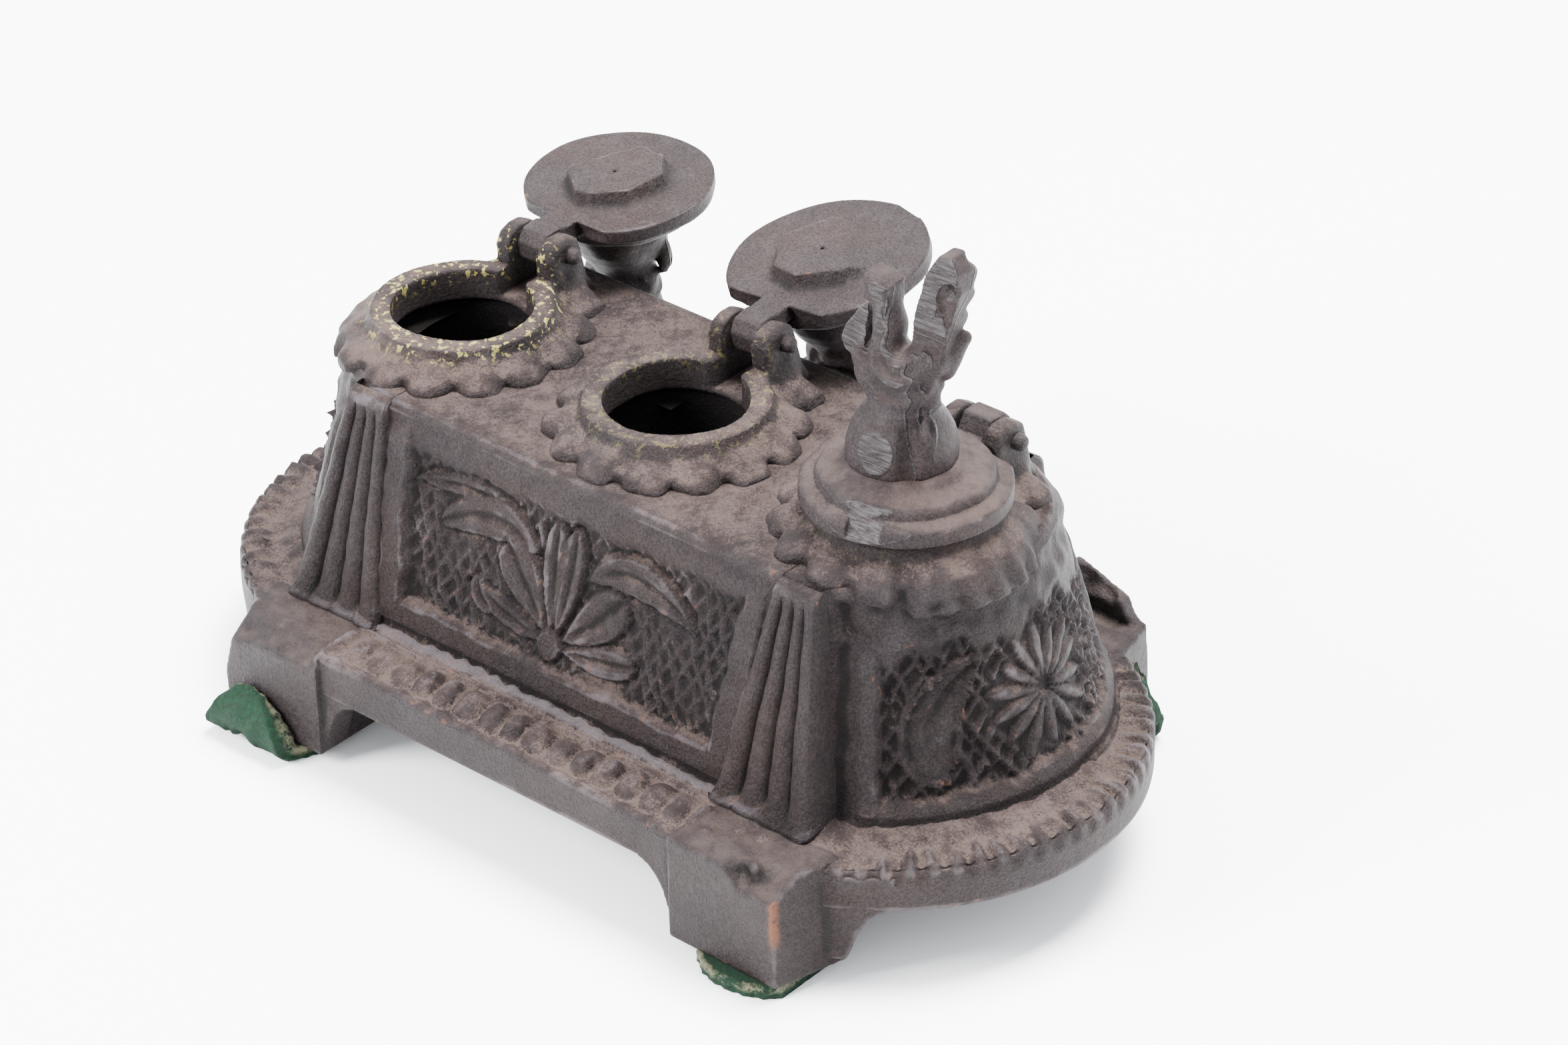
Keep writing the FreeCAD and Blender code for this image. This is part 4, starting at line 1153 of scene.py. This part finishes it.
def makeBird(seed):
    step = 0.24
    base = levels["dome"]
    low = (-12.5, -9.8, base - 1.2)
    p = space(low, (14.0, 9.8, base + 35.6), step)
    x, y, z = p
    h = z - base
    p = (x, y, h)
    r = np.hypot(x, y)
    # swelling foot with a crease facing the light and a bud beside it
    foot = np.hypot(x + 0.7, y)
    bell = outlineField(foot, h,
                        [(-5, -0.9), (7.9, -0.9), (8.0, 0.4), (7.9, 2.2), (7.5, 4.0), (6.8, 5.6),
                         (5.8, 7.0), (4.8, 8.2), (4.4, 9.2), (-5, 9.6)])
    bell = bell + 0.10 * uneven(x, y, z, 3, seed)
    bell = blendCut(bell, rod(p, (6.0, -6.6, -0.5), (3.5, -3.9, 9.8), 1.9, 1.2), 0.7)
    bud = ball(p, (6.0, -2.4, 6.4), (1.3, 1.3, 3.4))
    bell = blendUnion(bell, bud, 0.5)
    bell = blendCut(bell, rod(p, (8.2, -3.2, 3.6), (6.6, -2.6, 9.0), 0.4, 0.3), 0.2)
    nx, ny, nz, away = bird["bellFlat"]
    bell = blendCut(bell, away - (x * nx + y * ny + h * nz), 0.1)
    # a full breast and a belly that sweeps up into the tail, ribbed with feathers
    lean = math.radians(30)
    bx = (x - 0.2) * math.cos(lean) - (h - 12.4) * math.sin(lean)
    bz = (x - 0.2) * math.sin(lean) + (h - 12.4) * math.cos(lean)
    body = ball((bx, y, bz), (0, 0, 0), (6.0, 3.9, 4.2))
    breast = ball(p, (-3.9, 0, 12.4), (4.4, 3.7, 4.4))
    body = blendUnion(body, breast, 1.4)
    body = blendUnion(body, rod(p, (0.4, 0, 13.0), (5.0, 0, 17.4), 3.3, 2.5), 1.6)
    curl = np.hypot(x - 0.6, (h - 18.2) * 0.92)
    ribs = np.sin((curl - 1.4) * 2 * math.pi / 2.5)
    body = body - 0.30 * ribs * smooth(0.4, 2.0, np.abs(y)) * smooth(-6.0, -3.8, x) * smooth(7.4, 8.8,
                                                                                             h) * smooth(20,
                                                                                                         17,
                                                                                                         h)
    body = blendUnion(body,
                      outlineField(r, h, [(-5, 7.6), (4.6, 7.6), (4.4, 9.2), (4.9, 10.6), (-5, 12.0)]), 0.8)
    neck = rod(p, (-3.4, 0, 12.0), (-2.7, 0, 20.0), 2.9, 2.35)
    neck = blendUnion(neck, rod(p, (-2.7, 0, 20.0), (-3.6, 0, 25.2), 2.3, 2.1), 0.8)
    tip = (h - 27.2) * 0.96 + (x + 4) * 0.20 - y * 0.12
    head = np.maximum(block(p, (-6.1, -2.0, 23.4), (-1.6, 2.0, 29.5), 0.6), tip)
    neck = blendUnion(neck, head, 0.6)
    beak = outlineField(x, h,
                        [(-5.0, 23.4), (-7.0, 21.8), (-9.2, 18.6), (-10.3, 15.9), (-9.6, 14.4),
                         (-8.0, 14.0), (-6.2, 15.4), (-5.4, 18.0)])
    beak = slabField(beak, y, -2.7, 2.3, 0.6)
    nx, ny, nz, away = bird["beakFlat"]
    beak = blendCut(beak, away - (x * nx + y * ny + h * nz), 0.1)
    wattle = ball(p, (-6.4, -2.2, 14.6), (1.2, 1.1, 1.2))
    neck = blendUnion(neck, blendUnion(beak, wattle, 0.3), 0.35)
    neck = blendCut(neck, rod(p, (-4.4, -3.6, 22.6), (-4.7, -3.6, 16.0), 0.75, 0.7), 0.5)
    whole = blendUnion(body, neck, 1.2)
    whole = blendUnion(whole, bell, 0.9)
    # the raised tail: a cupped fan with a knobbly edge
    tail = outlineField(x, h,
                        [(0.8, 13.0), (4.6, 13.4), (6.9, 17.0), (8.3, 21.5), (9.1, 25.8), (10.2, 29.4),
                         (10.2, 32.4), (8.7, 34.8), (6.8, 34.5),
                               (4.8, 31.0), (3.4, 26.5), (2.7, 22.5), (1.6, 18.6), (0.6, 16.4)])
    half = np.interp(h, (9, 17, 22, 30, 34.8), (2.8, 2.7, 3.2, 3.5, 2.5))
    knob = 0.45 * np.sin(h * 2 * math.pi / 3.8) * smooth(18, 22, h) * smooth(4, 8, x)
    flatPart = np.abs(y) - half - knob
    tailField = np.sqrt(np.maximum(tail + 1.3, 0) ** 2 + np.maximum(flatPart + 1.3, 0) ** 2) - 1.3
    tailField = np.where((tail + 1.3 < 0) & (flatPart + 1.3 < 0), np.maximum(tail, flatPart), tailField)
    hollow = ball(p, (9.0, -4.3, 27.6), (3.7, 3.4, 5.6)) + 0.45 * uneven(x, y, z, 1.1, seed + 6)
    tailField = blendCut(tailField, hollow, 0.4)
    second = rod(p, (5.6, 1.8, 15.0), (8.5, 2.2, 20.8), 1.5, 1.1)
    tailField = blendUnion(tailField, second, 0.6)
    nx, ny, nz, away = bird["tailFlat"]
    cut = away - (x * nx + y * ny + h * nz) - 0.35 * np.maximum(22.5 - h, 0)
    tailField = blendCut(tailField, cut, 0.1)
    whole = blendUnion(whole, tailField, 1.0)
    whole = whole + 0.07 * uneven(x, y, z, 2.2, seed + 4)
    whole = np.maximum(whole, h - 34.55)
    whole = np.maximum(whole, -0.9 - h)
    return skin(whole, low, step)


def birdFlats():
    return [(nx, ny, nz, away + nz * levels["dome"]) for nx, ny, nz, away in bird.values()]


birdSkin = makeBird(70)
for seed, side in enumerate(("left", "middle", "right")):
    turn = opened(side)
    piece = makePiece("lid." + side, [makeLid(side, 61 + seed)], (wells[side], 0, 0), turn, flatsOf(side))
    markCrestsAndHollows(piece)
    finishPiece(piece, lidBronze, "lid_body_" + side, "bronze_lid", "lid_" + side)
    piece = makePiece("bird." + side, [birdSkin], (wells[side], 0, 0), turn, birdFlats())
    markCrestsAndHollows(piece)
    finishPiece(piece, birdBronze, "lid_body_" + side, "bronze_bird", "bird_finial_" + side)
print("lids and birds ready")


# pins with peened ends

pin = {"radius": 1.34, "left": -6.1, "right": 7.6}


def makePin(seed):
    spots = [(0.0, 0.05), (0.12, 0.75), (0.4, 1.12), (0.9, 1.32), (1.6, 1.34)]
    ends = [(pin["left"] + d, r) for d, r in spots] + [(pin["right"] - d, r) for d, r in reversed(spots)]
    rows = []
    for x, r in ends:
        a = np.linspace(0, 2 * math.pi, 40, endpoint=False)
        wobble = 1 - 0.03 * (1 + np.sin(3 * a + seed + x))
        rows.append(np.stack([x + 0 * a, hinge["y"] + r * wobble * np.cos(a),
                              r * wobble * np.sin(a) + hinge["z"]], -1))
    return sheet(np.stack(rows), closed=True, flip=False)


for seed, side in enumerate(("left", "middle", "right")):
    pivot = Vector((0, hinge["y"], hinge["z"])) * 0.001
    lean = Matrix.Translation(pivot) @ Matrix.Rotation(math.radians(-tilts[side]), 4,
                                                       "Y") @ Matrix.Translation(-pivot)
    piece = makePiece("pin." + side, [makePin(seed)], (wells[side], 0, 0), lean)
    markCrestsAndHollows(piece, (1, 3))
    finishPiece(piece, pinBronze, "stand", "pin", "hinge_pin_" + side)
    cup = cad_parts["ink_cup_" + side]
    cup.data.materials.clear()
    cup.data.materials.append(cupBronze)


# felt pads

pads = {
    # middle of the pad, the line its loose edge folds up along, and how far it is drawn out there
    "front_left": {"at": (-47.6, -37.6), "fold": (0, -1), "line": 43.25, "stretch": 1.65, "puff": 1.7},
    "front_right": {"at": (46.95, -35.05), "fold": (1, 0), "line": 54.9, "stretch": 0.0, "puff": 1.0},
    "back_left": {"at": (-46.35, 35.75), "fold": (-1, 0), "line": 60.0, "stretch": 1.0, "puff": 1.0},
    "back_right": {"at": (48.25, 36.45), "fold": (1, 0.05), "line": 57.4, "stretch": 4.6, "puff": 0.8},
}
padRadius, padThick = 10.4, 2.2


def makePad(look, seed):
    a = np.linspace(0, 2 * math.pi, 160, endpoint=False)
    reaches = [0.02, 0.3, 0.55, 0.66, 0.74, 0.8, 0.85, 0.89, 0.93, 0.96, 0.985]
    section = [(q, 0.0) for q in reaches] + [(0.997, 0.16), (1.0, 0.35), (1.0, 0.65),
                                             (0.997, 0.84)] + [(q, 1.0) for q in reversed(reaches)]
    fx, fy = look["fold"]
    size = math.hypot(fx, fy)
    fx, fy = fx / size, fy / size
    rows = []
    glue = []
    for reach, rise in section:
        fuzz = 0.014 * np.sin(5 * a + seed) + 0.010 * np.sin(23 * a + 3 * seed)
        fuzz = fuzz + 0.010 * np.sin(41 * a + rise * 9)
        edge = padRadius * reach * (1 + fuzz * reach) - 0.15
        x = look["at"][0] + edge * np.cos(a)
        y = look["at"][1] + edge * np.sin(a)
        depth = padThick * rise + 0 * a
        depth = depth - 0.16 * uneven(x, y, 0 * x, 1.6, seed) * (rise > 0.2) * (1 - 0.2 * rise) + 0.02
        out = x * fx + y * fy - look["line"]
        over = np.maximum(out, 0) * look["stretch"]
        bend = smooth(0, 1.6, over) * math.pi / 2
        z = np.maximum(over - 0.4, 0) - depth * np.cos(bend)
        push = -np.maximum(out, 0) + np.minimum(over,
                                                0.4) + depth * look["puff"] * np.sin(bend) * smooth(9.0,
                                                                                                    3.0,
                                                                                                    over)
        x, y = x + push * fx, y + push * fy
        rows.append(np.stack([x, y, np.maximum(z, -padThick)], -1))
        glue.append(np.full(len(a), float(rise < 0.4 and reach > 0.95)))
    return sheet(np.stack(rows), closed=True, flip=True), np.concatenate(glue)


for seed, (corner, look) in enumerate(pads.items()):
    part, glue = makePad(look, seed + 80)
    piece = makePiece("felt." + corner, [part])
    setLayer(piece.data, "glue", glue)
    finishPiece(piece, felt, "stand", "felt", "felt_pad_" + corner)
print("felt ready")

low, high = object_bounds()
